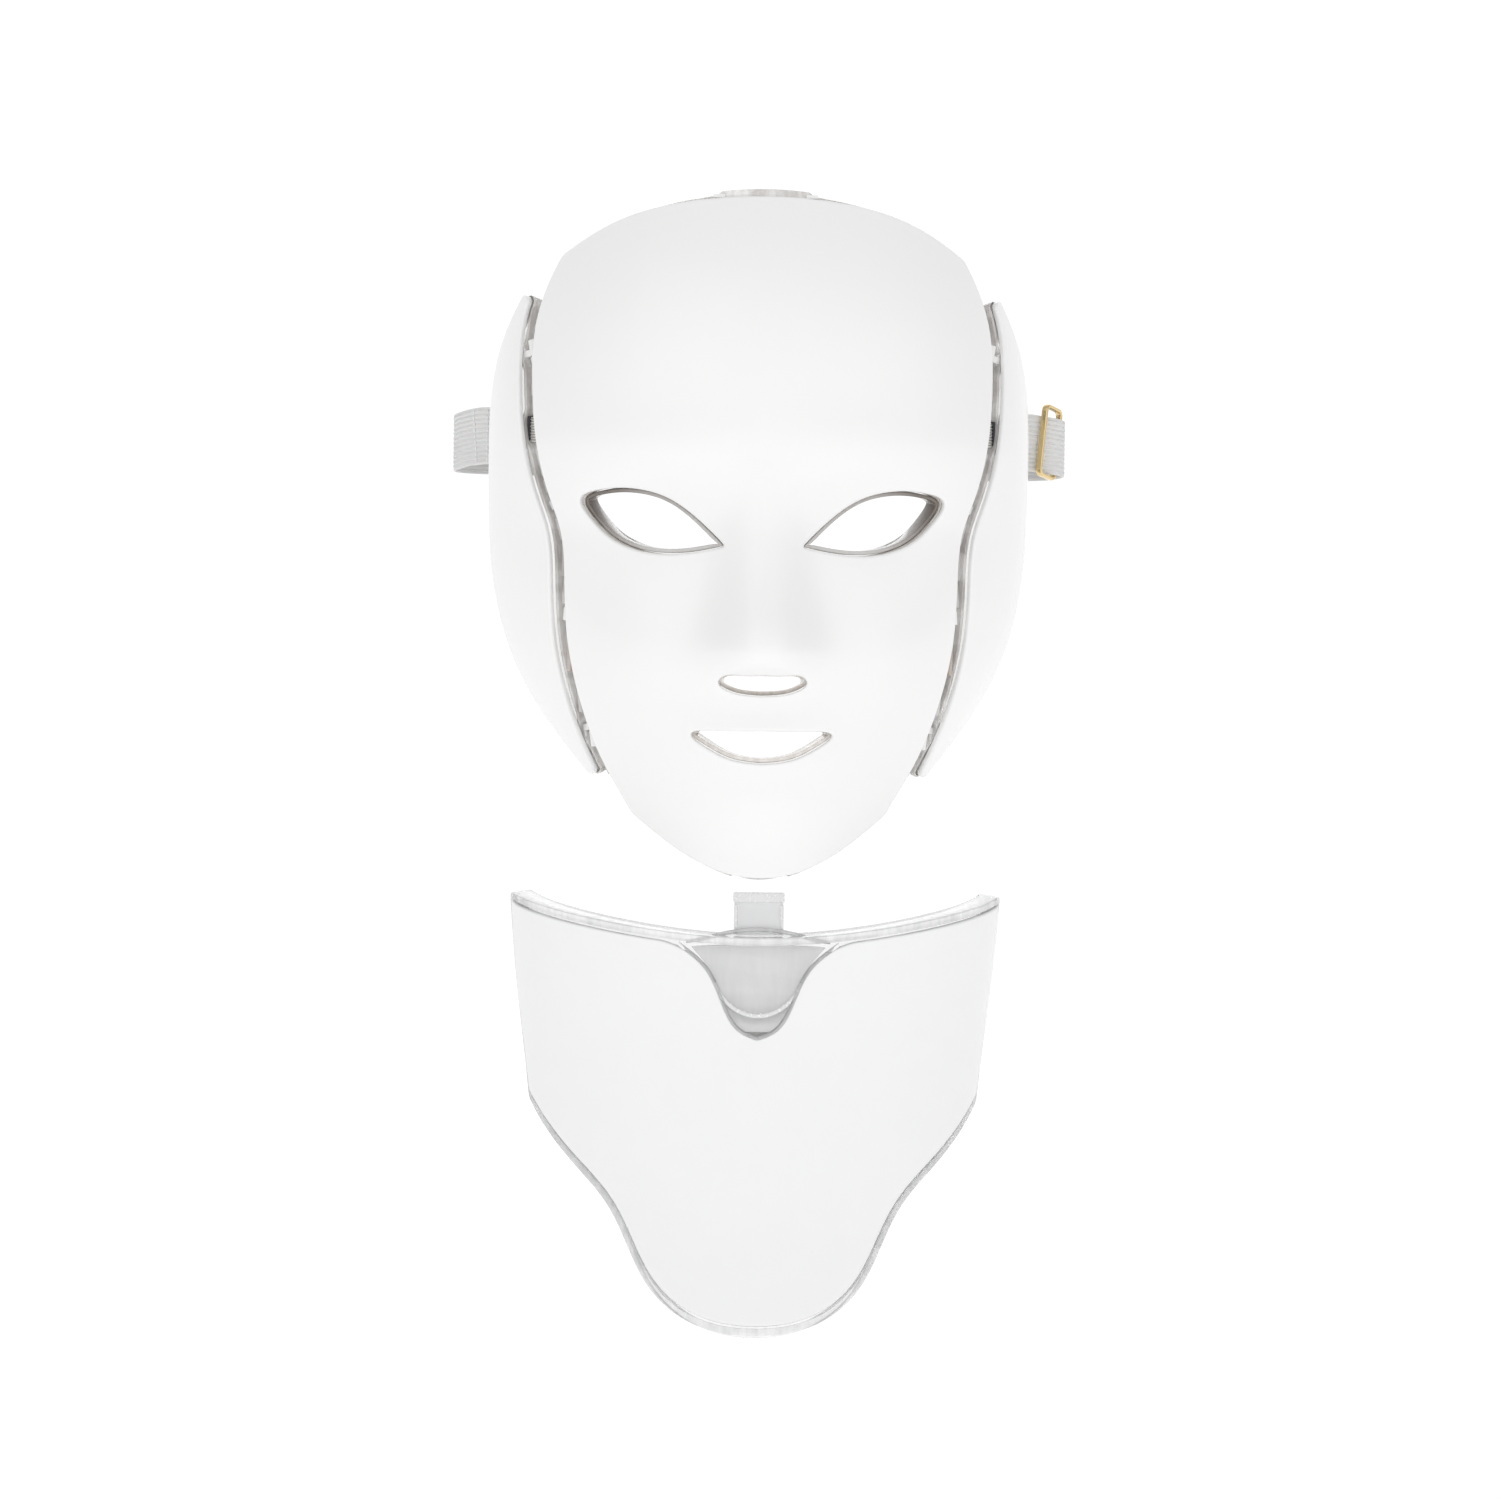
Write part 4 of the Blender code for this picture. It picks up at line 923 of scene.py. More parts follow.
def wing_shell(name, loop, profile, spacing, shader, flip, walls=(0, 0)):
    """A crescent plate whose edge shaping thins out towards its narrow tips."""
    deepest = -min(reach for reach, _ in profile)
    middle = np.argmax(loop[:, 1])
    seam = loop[:middle + 1]
    rear = loop[middle:][::-1]
    across = (np.interp(loop[:, 1], rear[:, 1], rear[:, 0])
              - np.interp(loop[:, 1], seam[:, 1], seam[:, 0]))
    share = eased(np.clip(0.36 * across / deepest, 0.1, 1.0), 20, 0.01)
    return shell(name, MASK, [loop], profile, spacing, shader, flip, [share], walls)


def make_wing(flip):
    """A wing's cover and lens."""
    prefix = side_name(flip)
    body = prefix + "_wing"
    cover = wing_shell(prefix + "_cover_wing", wing_loop(np.zeros_like, 0.0),
                       cover_profile(1.0), COVER_MESH, WHITE, flip)
    stands_for(cover, body, "white_shell", prefix + "_wing_cover")
    lens = wing_shell(prefix + "_lens_wing", wing_loop(seam_lip, LENS_LIP),
                      tray_profile(COVER_WALL + RIM_GAP, LENS_WALL), LENS_MESH, [CLEAR, WALL],
                      flip, TRAY_WALLS)
    stands_for(lens, body, "clear_lens", prefix + "_wing_lens")


# --- small parts, LED boards -------------------------------------------------
class Kit:
    """Small parts gathered into one object, each with its own shader."""

    def __init__(self):
        self.parts = []
        self.slots = []
        self.shaders = []

    def add(self, part, shader):
        if shader not in self.shaders:
            self.shaders.append(shader)
        self.parts.append(part)
        self.slots += [self.shaders.index(shader)] * len(part[1])

    def block(self, place, axes, offset, size, ease, shader):
        """An eased box, set off from a place along its axes."""
        self.add(block(place + np.asarray(offset, float) @ axes, axes, size, ease), shader)

    def build(self, name, flip=False, smooth=35):
        points, faces = merged(self.parts)
        return new_object(name, points, faces, self.shaders, smooth, self.slots, flip)


def local_axes(form, u, z, depth):
    """A point of a form and its unit axes: along u, up, and inwards."""
    spots = form.place([(u, z), (u + 0.2, z)], depth)
    inner = form.place([(u, z)], depth + 0.2)[0]
    along = unit(spots[1] - spots[0])
    inward = inner - spots[0]
    inward = unit(inward - along * (inward @ along))
    return spots[0], np.array([along, np.cross(inward, along), inward])


def dome(centre, axes, radius, height, sides=14):
    """A low lens standing on its flat side."""
    rings = 4
    points = []
    for k in range(rings):
        lift = math.pi / 2 * k / rings
        for a in np.linspace(0, 2 * math.pi, sides, endpoint=False):
            points.append((radius * math.cos(lift) * math.cos(a),
                           radius * math.cos(lift) * math.sin(a), height * math.sin(lift)))
    points.append((0, 0, height))
    faces = [tuple(range(sides))] + bands(rings, sides, False)
    last = (rings - 1) * sides
    faces += [(last + n, last + (n + 1) % sides, rings * sides) for n in range(sides)]
    return np.array(points) @ axes + centre, faces


def add_led(kit, form, u, z):
    """A surface-mount LED: package, lens and two solder fillets."""
    place, axes = local_axes(form, u, z, BOARD_BACK)
    kit.block(place, axes, (0, 0, LED_PACKAGE[2] / 2), LED_PACKAGE, 0.15, LED_BODY)
    kit.add(dome(place + 0.68 * axes[2], axes, 1.45, 0.75), LED_DOME)
    for side in (-1, 1):
        kit.block(place, axes, (side * 1.95, 0, 0.08), LED_FILLET, 0.1, SOLDER)


def add_resistor(kit, form, u, z):
    """A surface-mount resistor with its two soldered ends."""
    place, axes = local_axes(form, u, z, BOARD_BACK)
    kit.block(place, axes, (0, 0, 0.25), RESISTOR, 0.06, CHIP)
    for side in (-1, 1):
        kit.block(place, axes, (side * 0.72, 0, 0.22), RESISTOR_END, 0.08, SOLDER)


def cells(corners, columns):
    """Grid points of a board between its left and right edges, row by row."""
    return np.array([[(u, z) for u in np.linspace(left, right, columns + 1)]
                     for left, right, z in corners])


def board_loop(grid):
    """A board's outline with rounded corners, from its grid's border."""
    edge = border(grid)
    closed = np.concatenate([edge, edge[:1]])
    length = run_lengths(closed)[-1]
    wanted = np.linspace(0, length, int(length / BOARD_STEP), endpoint=False)
    return softened(resampled(closed, wanted), 4)


def make_board(node, form, grid, body, flip=False, slot="led_board"):
    """A board's plate and, as a second piece, what is soldered to it."""
    plate_profile = [(-0.4, BOARD_FRONT), (-0.06, BOARD_FRONT), (0.0, BOARD_FRONT + 0.08),
                     (0.0, BOARD_BACK - 0.08), (-0.06, BOARD_BACK), (-0.4, BOARD_BACK)]
    plate = shell(node.replace("board", "panel"), form, [board_loop(grid)], plate_profile,
                  BOARD_MESH, BOARD if slot == "led_board" else CONTROL, flip)
    stands_for(plate, body, slot, node)
    kit = Kit()
    centres = 0.25 * (grid[:-1, :-1] + grid[1:, :-1] + grid[:-1, 1:] + grid[1:, 1:])
    if slot == "led_board":
        for row in centres:
            for i, (u, z) in enumerate(row):
                add_led(kit, form, u, z)
                if i + 1 < len(row):
                    add_resistor(kit, form, *(0.5 * (row[i] + row[i + 1])))
    else:
        add_controls(kit, form, centres[0])
    parts = kit.build(node.replace("board", "parts"), flip)
    stands_for(parts, body, slot)


def add_controls(kit, form, spots):
    """The control board's driver chip, connector, coil and small parts."""
    (left, z), (middle, _), (right, _) = spots
    place, axes = local_axes(form, middle, z, BOARD_BACK)
    kit.block(place, axes, (0, 0, 0.6), DRIVER_CHIP, 0.12, CHIP)
    for side in (-3.9, 3.9):
        for step in np.linspace(-2.8, 2.8, 8):
            kit.block(place, axes, (side, step, 0.1), (0.9, 0.3, 0.2), 0.05, SOLDER)
            kit.block(place, axes, (step, side, 0.1), (0.3, 0.9, 0.2), 0.05, SOLDER)
    place, axes = local_axes(form, left, z, BOARD_BACK)
    kit.block(place, axes, (0, 0, CONNECTOR[2] / 2), CONNECTOR, 0.2, LED_BODY)
    for step in np.linspace(-3.0, 3.0, 5):
        kit.block(place, axes, (2.6, step, 0.15), CONTACT, 0.08, SOLDER)
    place, axes = local_axes(form, right, z, BOARD_BACK)
    kit.add(dome(place, axes, 2.6, 1.6, 20), CHIP)
    kit.block(place, axes, (0, 4.6, 0.5), CRYSTAL, 0.2, STEEL)
    for du in (-4.9, 4.9):
        for dz in (-6.5, 6.5):
            add_resistor(kit, form, middle + du, z + dz)


def make_boards():
    """The boards of the mask and its wings; a row gives x, z, columns and rows."""
    boards = {
        "forehead_led_board": ((-58, 58), (22, 78), 8, 4),
        "right_cheek_led_board": ((25, 54), (-60, -21), 2, 2),
        "left_cheek_led_board": ((-54, -25), (-60, -21), 2, 2),
        "chin_led_board": ((-21, 21), (-100, -87.5), 3, 1),
        "control_board": ((-15, 15), (84, 102), 3, 1),
    }
    for name, (x_range, z_range, columns, rows) in boards.items():
        left, right = MASK.spread([(x, 0.5 * sum(z_range)) for x in x_range])[:, 0]
        grid = cells([(left, right, z) for z in np.linspace(*z_range, rows + 1)], columns)
        slot = "control_board" if name == "control_board" else "led_board"
        make_board(name, MASK, grid, "mask", slot=slot)
    rear = curve(MASK.spread(WING_REAR[::-1]), OUTLINE_STEP)
    heights = WING_BOTTOM_Z + np.linspace(0.2, 0.8, 5) * (WING_TOP_Z - WING_BOTTOM_Z)
    corners = []
    for z in heights:
        start = MASK.spread([(seam_x(z) + SEAM, z)])[0, 0]
        stop = np.interp(z, rear[:, 1], rear[:, 0])
        corners.append((start + 0.3 * (stop - start), start + 0.7 * (stop - start), z))
    for flip in (False, True):
        body = side_name(flip) + "_wing"
        make_board(body + "_led_board", MASK, cells(corners, 2), body, flip)


# --- hinges and flat cables --------------------------------------------------
def turned(start, axis, outline, sides=28):
    """A turned part: an outline of (radius, place along the axis) swept round it."""
    across = unit(np.cross(axis, (0.0, 1.0, 0.0)))
    third = np.cross(axis, across)
    points = []
    for radius, along in outline:
        for a in np.linspace(0, 2 * math.pi, sides, endpoint=False):
            points.append(start + axis * along
                          + radius * (math.cos(a) * across + math.sin(a) * third))
    return np.array(points), bands(len(outline), sides, True)


def barrel_outline(radius, bore, length, ease=0.3):
    """Half the section of a short tube with eased ends."""
    end = [(bore, 0.15), (bore + 0.15, 0), (radius - ease, 0), (radius - 0.3 * ease, 0.3 * ease),
           (radius, ease)]
    return end + [(r, length - along) for r, along in reversed(end)]


def make_hinges(flip):
    """Barrels, leaves and pins of a wing's two hinges, which share one axis."""
    prefix = side_name(flip)
    ends = []
    for level in ("lower", "upper"):
        z = HINGE_HEIGHTS[level]
        u = MASK.spread([(seam_x(z) + SEAM / 2, z)])[0, 0]
        ends.append((local_axes(MASK, u, z, HINGE_LEVEL), level))
    axis = unit(ends[1][0][0] - ends[0][0][0])
    for (centre, frame_axes), level in ends:
        inward = unit(frame_axes[2] - axis * (frame_axes[2] @ axis))
        outward = np.cross(axis, inward)
        if outward[0] < 0:
            outward = -outward
        axes = np.array([outward, axis, inward])
        for part, away, body in (("eye", -1, "mask"), ("knuckle", 1, prefix + "_wing")):
            start = centre + axis * (BARREL_GAP if away > 0 else -BARREL_LENGTH - BARREL_GAP)
            kit = Kit()
            kit.add(turned(start, axis, barrel_outline(BARREL_RADIUS, BARREL_BORE, BARREL_LENGTH)),
                    WHITE_PART)
            leaf = centre + away * (0.17 + HINGE_TAB / 4) * axis - 0.95 * inward
            kit.block(leaf, axes, (away * 3.3, 0, 0), HINGE_ARM, 0.3, WHITE_PART)
            kit.block(leaf, axes, (away * 6.2, 0, 0.1), HINGE_FOOT, 0.3, WHITE_PART)
            item = kit.build(f"{prefix}_{level}_{part}_turned", flip)
            stands_for(item, body, "white_shell", f"{prefix}_{level}_hinge_{part}")
        reach = BARREL_LENGTH + 0.6
        pin = [(0.02, 0), (0.4, 0.02), (PIN_RADIUS, 0.2), (PIN_RADIUS, 2 * reach - 0.2),
               (0.4, 2 * reach - 0.02), (0.02, 2 * reach)]
        kit = Kit()
        kit.add(turned(centre - reach * axis, axis, pin, 20), STEEL)
        stands_for(kit.build(f"{prefix}_{level}_pin_turned", flip), "mask", "hinge_pin",
                   f"{prefix}_{level}_hinge_pin")


# height up the seam, length and look of each moulded part in it; look 1 is the strut finish
# darkened as painted shade
STRUTS = ((69.2, 9, 0), (56, 4.8, 2), (46.8, 10, 0), (38, 5, 1), (19.2, 10, 0), (10.8, 5, 1),
          (4.6, 3.4, 3), (-3.4, 8, 0), (-14, 11, 1), (-25, 8, 0), (-32.5, 4.6, 2), (-44.4, 16, 4),
          (-60.4, 13, 0), (-74.5, 4.8, 2), (-83.8, 9, 0))


def make_struts(flip):
    """Moulded stops, hinge covers, a contact and an adhesive bead along the seam."""
    prefix = side_name(flip)
    shaders = (STRUT, SHADED, WHITE_PART, SOLDER, ADHESIVE)
    start, stop = -0.1, 1.9
    kit = Kit()
    for z, height, look in STRUTS:
        ends = [MASK.spread([(seam_x(level), level)])[0, 0] for level in (z - 1, z + 1)]
        lean = math.atan2(ends[1] - ends[0], 2.0)
        middle = sum(ends) / 2 + 0.5 * (start + stop)
        place, axes = local_axes(MASK, middle, z, 1.85)
        up = math.cos(lean) * axes[1] - math.sin(lean) * axes[0]
        along = math.cos(lean) * axes[0] + math.sin(lean) * axes[1]
        kit.add(block(place, np.array([along, up, axes[2]]), (stop - start, height, 1.1), 0.25),
                shaders[look])
    stands_for(kit.build(prefix + "_seam_stops", flip), "mask", "clear_lens")


def make_ribbon(flip):
    """The flat cable across a seam, slightly arched, with a plug on each side."""
    prefix = side_name(flip)
    middle, z = MASK.spread([(seam_x(RIBBON_Z) + SEAM / 2, RIBBON_Z)])[0]
    across = np.linspace(-RIBBON_REACH, RIBBON_REACH, 45)
    up = np.linspace(-RIBBON_HEIGHT / 2, RIBBON_HEIGHT / 2, 41)
    arch = 0.9 * np.exp(-(across / 4.0) ** 2)
    layers = []
    for depth, relief in ((4.3, 0.06), (4.55, 0.0)):
        for height in up:
            flat = np.stack([middle + across, np.full(len(across), z + height)], axis=1)
            ridge = relief * math.cos(2 * math.pi * height / CABLE_PITCH)
            layers.append(MASK.place(flat, depth - arch - ridge))
    cable = new_object(prefix + "_flat_cable", np.concatenate(layers),
                       sheet_faces(len(up), len(across)), RIBBON, flip=flip)
    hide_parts(prefix + "_ribbon_cable")
    mirror = -1 if flip else 1
    start, end = MASK.place([(middle - 2.6, z), (middle + 2.6, z)], 4.3) * (mirror, 1, 1) * MM
    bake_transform(cable)
    for away, body in ((-1, "mask"), (1, prefix + "_wing")):
        place, axes = local_axes(MASK, middle + away * 4.6, z, 4.1)
        kit = Kit()
        kit.block(place, axes, (0, 0, 0), CABLE_PLUG, 0.2, CHIP)
        for step in np.linspace(-3.6, 3.6, 7):
            kit.block(place, axes, (-away * 1.15, step, -0.3), (0.7, 0.42, 0.35), 0.1, SOLDER)
        plug = kit.build(f"{prefix}_cable_plug_{body.split('_')[-1]}", flip)
        stands_for(plug, body, "ribbon")


# --- strap and buckle --------------------------------------------------------
strap_run = np.array([math.sin(STRAP_ANGLE), math.cos(STRAP_ANGLE)])
strap_inward = np.array([-strap_run[1], strap_run[0]])
strap_start = np.array(LUG_BAR) + strap_run * (LOOP_LENGTH + LOOP_RADIUS + 0.5)
strap_centre = strap_start + strap_inward * STRAP_RADIUS


def smoothstep(share):
    """A share from 0 to 1 that starts and stops gently."""
    share = np.clip(share, 0, 1)
    return share * share * (3 - 2 * share)


def sag(distance):
    """How far the strap has dropped at a distance from its start."""
    distance = np.maximum(distance, 0.0)
    return STRAP_SAG * (1 - np.exp(-distance ** 2 / (distance + 8.0) / 30.0))


def lifted(angle):
    """How far the strap stands off its side curve, where it passes over the buckle."""
    near = BUCKLE_ANGLE - 0.10
    far = BUCKLE_ANGLE + 0.165
    rise = smoothstep((angle - near) / (far - 0.05 - near))
    return 4.0 * rise * (1 - smoothstep((angle - far - 0.04) / 0.42))


def strap_path(over_buckle):
    """The right half from its sewn tail, round the lug's bar, to the back of the head."""
    bar = np.array(LUG_BAR)
    tail = [strap_start + strap_run * along + strap_inward * (LAYER_STEP + along ** 2 / 80)
            for along in (TAIL_LENGTH, TAIL_LENGTH / 2, 0.0)]
    turns = [bar + strap_run * 5.0 + strap_inward * 2.3, bar + strap_run * 2.2 + strap_inward * 3.0]
    for angle in np.radians([0, 35, 70, 105, 140, 180]):
        turns.append(bar + 3.05 * (math.cos(angle) * strap_inward - math.sin(angle) * strap_run))
    turns += [bar + strap_run * 2.6 - strap_inward * 2.7,
              bar + strap_run * 6.0 - strap_inward * 1.1]
    angles = np.linspace(-STRAP_ANGLE, math.pi / 2, 60)
    reach = STRAP_RADIUS + (lifted(angles) if over_buckle else 0.0 * angles)
    side = strap_centre + np.stack([reach * np.cos(angles), reach * np.sin(angles)], axis=1)
    back = [(x, strap_centre[1] + STRAP_RADIUS) for x in np.linspace(strap_centre[0], 0, 12)[1:]]
    plan = curve(np.concatenate([tail, turns, side, back]), 1.0)
    length = run_lengths(plan)
    first = np.argmin(np.linalg.norm(plan - strap_start, axis=1) + (length < 12) * 50)
    distance = length - length[first]
    drop = sag(distance)
    folded = distance < -12
    drop[folded] = sag(TAIL_LENGTH - length[folded])
    path = np.column_stack([plan, STRAP_Z - drop])
    return path, distance


def webbing_section():
    """Rounded selvedges and ribs that run lengthwise, front and back."""
    height, wall = STRAP_HEIGHT, STRAP_WALL
    half = height / 2
    across = np.linspace(-half + 0.5, half - 0.5, 6 * STRAP_RIBS + 1)
    rib = 0.09 * np.cos(2 * math.pi * STRAP_RIBS * across / height)
    front = np.column_stack([wall / 2 - 0.09 + rib, across])
    edge = [(0.30 * wall, half - 0.12), (0.0, half), (-0.30 * wall, half - 0.12)]
    back = front[::-1] * (-1, 1)
    return np.concatenate([front, edge, back, np.array(edge)[::-1] * (1, -1)])


def add_stitches(kit, path, distance, at):
    """A row of thread across the strap, on the outer faces of its two layers."""
    k = int(np.argmin(np.abs(distance - at)))
    along = unit(path[k + 1] - path[k - 1])
    square = unit(np.cross(along, (0.0, 0.0, 1.0)))
    up = np.cross(square, along)
    for step in np.linspace(-8.4, 8.4, 9):
        for face, shift in ((1, 0.0), (-1, -LAYER_STEP)):
            centre = path[k] + up * step + square * (face * (STRAP_WALL / 2 + 0.02) + shift)
            kit.add(block(centre, np.array([along, square, up]), STITCH, 0.16), THREAD)


def webbing_piece(name, path, pinch, flip, before=0.0):
    """A length of webbing, with its run and its width in millimetres as UVs."""
    section = webbing_section()
    points, faces = swept(path, section, False, pinch=pinch)
    piece = new_object(name, points, faces, WEBBING, 60, flip=flip)
    length = before + run_lengths(path)
    flat = np.column_stack([np.repeat(length, len(section)),
                            np.tile(section[:, 1], len(path))]) * MM
    layer = piece.data.uv_layers.new(name="along_and_across")
    vertex = np.empty(len(piece.data.loops), int)
    piece.data.loops.foreach_get("vertex_index", vertex)
    layer.data.foreach_set("uv", flat[vertex].ravel())
    return piece


def bends(piece):
    """Bakes a piece's placement into its mesh."""
    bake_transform(piece)


def make_strap(flip):
    """One half of the strap; the right one passes over the buckle and is cut into front, side and
    back pieces.
    """
    prefix = side_name(flip)
    wing = prefix + "_wing"
    path, distance = strap_path(over_buckle=not flip)
    pinch = 1 - sum(0.22 * np.exp(-((distance - at) / 0.8) ** 2) for at in STRAP_SEAMS)
    if flip:
        strap = webbing_piece(prefix + "_strap_half", path, pinch, flip)
        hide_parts(prefix + "_strap_loop")
        bends(strap)
    else:
        turn = np.degrees(np.arctan2(path[:, 1] - strap_centre[1], path[:, 0] - strap_centre[0]))
        cuts = [0] + [int(np.argmax((distance > 12) & (turn > at))) for at in STRAP_CUTS]
        cuts.append(len(path) - 1)
        pieces = []
        for k, part in enumerate(("front", "side", "back")):
            run = slice(cuts[k], cuts[k + 1] + 1)
            pieces.append(webbing_piece(f"{prefix}_strap_{part}", path[run], pinch[run], flip,
                                        distance[cuts[k]]))
        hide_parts(prefix + "_strap_loop")
        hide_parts("elastic_strap")
        bends(pieces[0])
        bends(pieces[1])
        bends(pieces[2])
    kit = Kit()
    for at in STRAP_SEAMS:
        add_stitches(kit, path, distance, at)
    stitches = kit.build(prefix + "_strap_stitches", flip)
    stands_for(stitches, wing, "webbing")


def make_buckle():
    """A slim ring with rounded corners; the strap comes out through its window."""
    bar = 1.4
    corner = 2.2
    half = (BUCKLE_LENGTH - bar) / 2
    top = (BUCKLE_HEIGHT - bar) / 2
    path = []
    for x, z, first in ((half, top, 0), (-half, top, 90), (-half, -top, 180), (half, -top, 270)):
        centre = (x - math.copysign(corner, x), z - math.copysign(corner, z))
        path += [(centre[0] + corner * math.cos(a), 0, centre[1] + corner * math.sin(a))
                 for a in np.radians(np.linspace(first, first + 90, 9))]
    around = circle(1.0, 24)
    section = (0.68, 1.15) * (np.sign(around) * np.abs(around) ** 0.55)
    points, faces = swept(path, section, True, (0.0, 1.0, 0.0))
    reach = STRAP_RADIUS + (STRAP_WALL + BUCKLE_DEPTH) / 2 + 0.35
    spot = strap_centre + reach * np.array([math.cos(BUCKLE_ANGLE), math.sin(BUCKLE_ANGLE)])
    place = (Matrix.Translation((*spot, STRAP_Z))
             @ Matrix.Rotation(BUCKLE_ANGLE + math.pi / 2, 4, "Z")
             @ Matrix.Rotation(BUCKLE_TILT, 4, "Y"))
    points = np.array([tuple(place @ Vector(point)) for point in points])
    ring = new_object("buckle_ring", points, faces, GOLD, 50)
    stands_for(ring, "buckle", "gold", "adjuster_buckle")


# --- the neck piece ----------------------------------------------------------
def neck_loop(growth):
    """The neck piece's outline, moved outwards by its edges' growth."""
    return four_sided(NECK, NECK_BOTTOM, NECK_SIDE, NECK_TOP, NECK_STEP, growth, 4, 12)


def notched(loop):
    """A panel outline with the throat notch let into its upper edge."""
    half = curve(NECK.spread([(30.5, -142.6), (27, -143.6)] + NOTCH[1:]), 1.0)
    notch = both_sides(half)
    top = np.where((np.abs(loop[:, 0]) < half[0, 0]) & (loop[:, 1] > -160))[0]
    return softened(np.concatenate([loop[:top[0]], notch, loop[top[-1] + 1:]]), 6)


def make_neck():
    """The neck piece: its lens, frosted panel, throat tray, LED board and tab."""
    lens = shell("lens_neck", NECK, [neck_loop({})], tray_profile(NECK_RIM_LEVEL, NECK_WALL),
                 NECK_LENS_MESH, [CLEAR_NECK, NECK_EDGE], walls=TRAY_WALLS)
    stands_for(lens, "neck_piece", "clear_lens", "neck_lens")
    panel_growth = {key: -value - 0.45 for key, value in NECK_RIM.items()}
    panel = shell("panel_neck", NECK, [notched(neck_loop(panel_growth))],
                  cover_profile(0.6), PANEL_MESH, FROSTED)
    stands_for(panel, "neck_piece", "frosted_panel", "neck_cover")
    make_scoop()
    low, high = (np.array(corner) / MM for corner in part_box("neck_led_board"))
    corners = []
    for z in np.linspace(low[2] + 4, high[2] - 6, 6):
        reach = NECK.spread([(0.78 * np.interp(z, (-250, -200, -130), (44, 78, 85)), z)])[0, 0]
        corners.append((-reach, reach, z))
    make_board("neck_led_board", NECK, cells(corners, 5), "neck_piece")
    make_tab()


def make_scoop():
    """The dished clear tray in the notch, with its raised lip."""
    notch = curve(NOTCH[::-1], 0.8)
    rows = 34
    across = np.linspace(-1, 1, 31)
    layers = []
    for wall in (0.0, 1.1):
        for j in range(rows + 1):
            z = SCOOP_Z[0] + (SCOOP_Z[1] - SCOOP_Z[0]) * (j / rows) ** 1.3
            half = np.interp(z, notch[:, 1], notch[:, 0]) - 0.7
            deep = 3.6 * (1 - across ** 4) * math.sin(math.pi / 2 * min(1.0, 2.2 * j / rows))
            step = 0.9 / (1 + math.exp(-(z + 166.5 + 3.0) * 2.0))
            flat = NECK.spread(np.column_stack([half * across, np.full(len(across), z)]))
            layers.append(NECK.place(flat, 0.7 + deep * (0.55 + 0.45 * step) + wall))
    scoop = new_object("scoop_neck", np.concatenate(layers), sheet_faces(rows + 1, len(across)),
                       SMOKE, 50)
    stands_for(scoop, "neck_piece", "clear_lens", "neck_scoop")
    make_scoop_beads()


def make_scoop_beads():
    """Rounded beads: along the notch, across the dish, and the arch over its mouth."""
    kit = Kit()
    notch = both_sides(curve([(27.5, -142.4)] + NOTCH[1:], 0.8))
    across = curve([(-15, -155.6), (-11.6, -161.4), (-6.3, -165.5), (0, -167), (6.3, -165.5),
                    (11.6, -161.4), (15, -155.6)], 0.8)
    arch = [(x, -142.2 + 4.4 * (1 - (x / 25) ** 2) ** 1.5) for x in np.linspace(-25, 25, 61)]
    for line, depth, radius, shader in ((notch, 0.35, 0.7, CLEAR_NECK), (across, 0.9, 0.8, TAB_LIP),
                                        (arch, 3.2, 0.7, NECK_EDGE)):
        path = NECK.place(NECK.spread(line), depth)
        kit.add(swept(path, circle(radius, 12), False, (0.0, -1.0, 0.0)), shader)
    beads = kit.build("beads_neck", smooth=60)
    stands_for(beads, "neck_piece", "clear_lens")


def make_tab():
    """The upright tab: a plate, two stiffening ribs and a thicker lip on top."""
    low, high = (np.array(corner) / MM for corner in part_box("neck_tab"))
    centre = 0.5 * (low + high)
    size = high - low
    axes = np.eye(3)
    kit = Kit()
    plate = (size[0] - 0.5, size[1] - 0.5, size[2])
    kit.block(centre, axes, (0, 0.1, -0.1), plate, 0.45, TAB_FINISH)
    kit.block(centre, axes, (0, 0, size[2] / 2 - 1.6), (size[0] + 0.4, size[1], 3.4), 0.45, TAB_LIP)
    for side in (-1, 1):
        kit.block(centre, axes, (side * (size[0] / 2 - 0.7), -0.1, -2.0),
                  (1.2, size[1] - 0.3, size[2] - 4.2), 0.3, TAB_LIP)
    stands_for(kit.build("tab_neck"), "neck_piece", "frosted_panel", "neck_tab")


# --- carried-over CAD nodes --------------------------------------------------
def finish_nodes():
    """Small moulded parts keep their CAD shape, with eased edges and real finishes."""
    finishes = {
        "left_cover_clip": WHITE_PART, "right_cover_clip": WHITE_PART,
        "chin_socket": WHITE_PART, "chin_contacts": GOLD, "power_inlet": BLACK,
        "left_strap_lug": WHITE_PART, "right_strap_lug": WHITE_PART,
    }
    for name, shader in finishes.items():
        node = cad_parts[name]
        node.material_slots[0].material = shader
        bevel = node.modifiers.new("eased_edges", "BEVEL")
        bevel.width = (0.12 if "clip" in name or name in ("chin_contacts", "power_inlet")
                       else 0.4) * MM
        bevel.segments = 3
        bevel.limit_method = "ANGLE"
        bevel.angle_limit = math.radians(40)


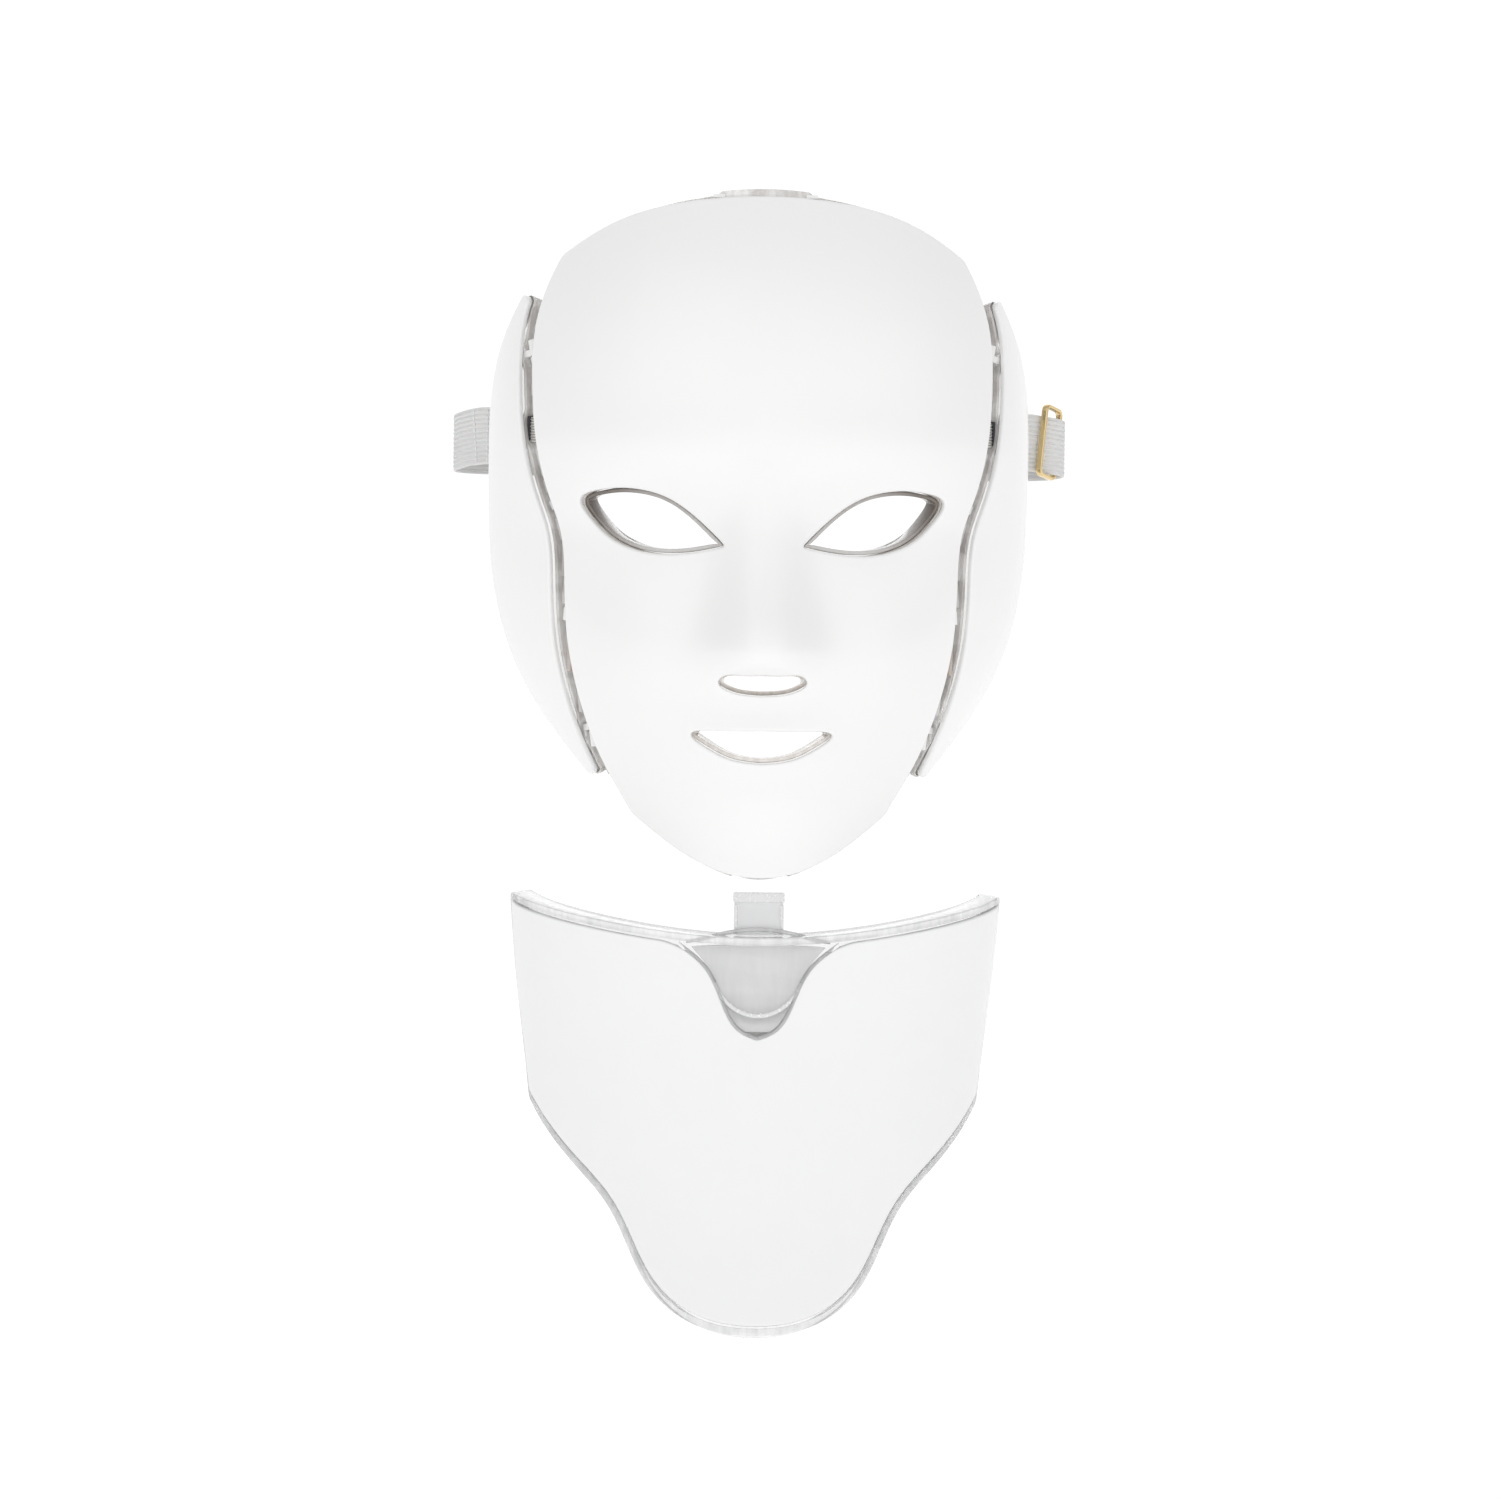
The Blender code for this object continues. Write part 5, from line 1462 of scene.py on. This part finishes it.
# --- stage -------------------------------------------------------------------
VIEW_TARGET = (-3.3, 0.0, -77.2)
VIEW_DISTANCE = 1700.0
VIEW_LENS = 120
VIEW_ELEVATION = 4.5
VIEW_YAW = 1.7
VIEW_ROLL = 0.76
FLOOR_Z = -420.0
FLOOR_REACH = 12.0
FLOOR_GLOW = 0.42
ROOM_SIDES = 0.52
ROOM_ENDS = 1.11
ROOM_SEEN = 1.05
LIGHT_TARGET = (0.0, 0.0, -0.06)
SOFTBOXES = {
    "key_softbox": ((-1.1, -1.6, 1.3), (1.6, 1.6), 1.6),
    "fill_softbox": ((1.5, -1.1, 0.2), (1.2, 1.6), 0.7),
    "back_softbox": ((0.3, 1.7, 0.9), (1.6, 1.0), 3.0),
}


def make_camera():
    data = bpy.data.cameras.new("camera")
    data.lens = VIEW_LENS
    data.sensor_width = 36
    data.clip_end = 50
    camera = linked("camera", data)
    elevation = math.radians(VIEW_ELEVATION)
    yaw = math.radians(VIEW_YAW)
    away = Vector((-math.sin(yaw) * math.cos(elevation), -math.cos(yaw) * math.cos(elevation),
                   math.sin(elevation)))
    target = Vector(VIEW_TARGET) * MM
    look = (-away).to_track_quat("-Z", "Y").to_matrix().to_4x4()
    camera.matrix_world = (Matrix.Translation(target + away * VIEW_DISTANCE * MM) @ look
                           @ Matrix.Rotation(math.radians(VIEW_ROLL), 4, "Z"))
    bpy.context.scene.camera = camera


def make_floor():
    mesh = bpy.data.meshes.new("floor")
    corners = [(-1, -1), (1, -1), (1, 1), (-1, 1)]
    mesh.from_pydata([(FLOOR_REACH * x, FLOOR_REACH * y, FLOOR_Z * MM) for x, y in corners],
                     [], [(0, 1, 2, 3)])
    floor = linked("floor", mesh)
    shader = Shader("floor_paper", Base_Color=(0.80, 0.80, 0.80, 1.0), Roughness=0.9,
                    Emission_Color=(1, 1, 1, 1), Emission_Strength=FLOOR_GLOW,
                    Specular_IOR_Level=0.1)
    mesh.materials.append(shader.material)


def make_studio():
    """Light from all round, dimmer from the sides, and three softboxes."""
    world = bpy.data.worlds.new("studio")
    world.use_nodes = True
    tree = world.node_tree
    white = (1.0, 1.0, 1.0, 1.0)
    around = tree.nodes["Background"]
    around.inputs["Color"].default_value = white
    heading = add_node(tree, "SeparateXYZ", {0: add_node(tree, "TexCoord").outputs["Generated"]})
    depth = add_node(tree, "Math", {0: heading.outputs["Y"]}, operation="ABSOLUTE")
    shade = add_node(tree, "MapRange", {"To Min": ROOM_SIDES, "To Max": ROOM_ENDS,
                                        "Value": depth.outputs[0]},
                     interpolation_type="SMOOTHSTEP")
    tree.links.new(shade.outputs["Result"], around.inputs["Strength"])
    seen = add_node(tree, "Background", {"Color": white, "Strength": ROOM_SEEN})
    path = add_node(tree, "LightPath")
    mix = add_node(tree, "MixShader", {"Fac": path.outputs["Is Camera Ray"],
                                       1: around.outputs[0], 2: seen.outputs[0]})
    tree.links.new(mix.outputs[0], tree.nodes["World Output"].inputs["Surface"])
    bpy.context.scene.world = world
    for name, (place, size, power) in SOFTBOXES.items():
        data = bpy.data.lights.new(name, "AREA")
        data.shape = "RECTANGLE"
        data.size, data.size_y = size
        data.energy = power
        light = linked(name, data)
        light.location = place
        aim = Vector(LIGHT_TARGET) - Vector(place)
        light.rotation_euler = aim.to_track_quat("-Z", "Y").to_euler()
        light.visible_transmission = False
    bpy.context.scene.view_settings.view_transform = "Standard"


make_centre()
make_boards()
for flip in (False, True):
    make_wing(flip)
    make_hinges(flip)
    make_struts(flip)
    make_ribbon(flip)
    make_strap(flip)
make_buckle()
make_neck()
finish_nodes()
make_camera()
make_floor()
make_studio()
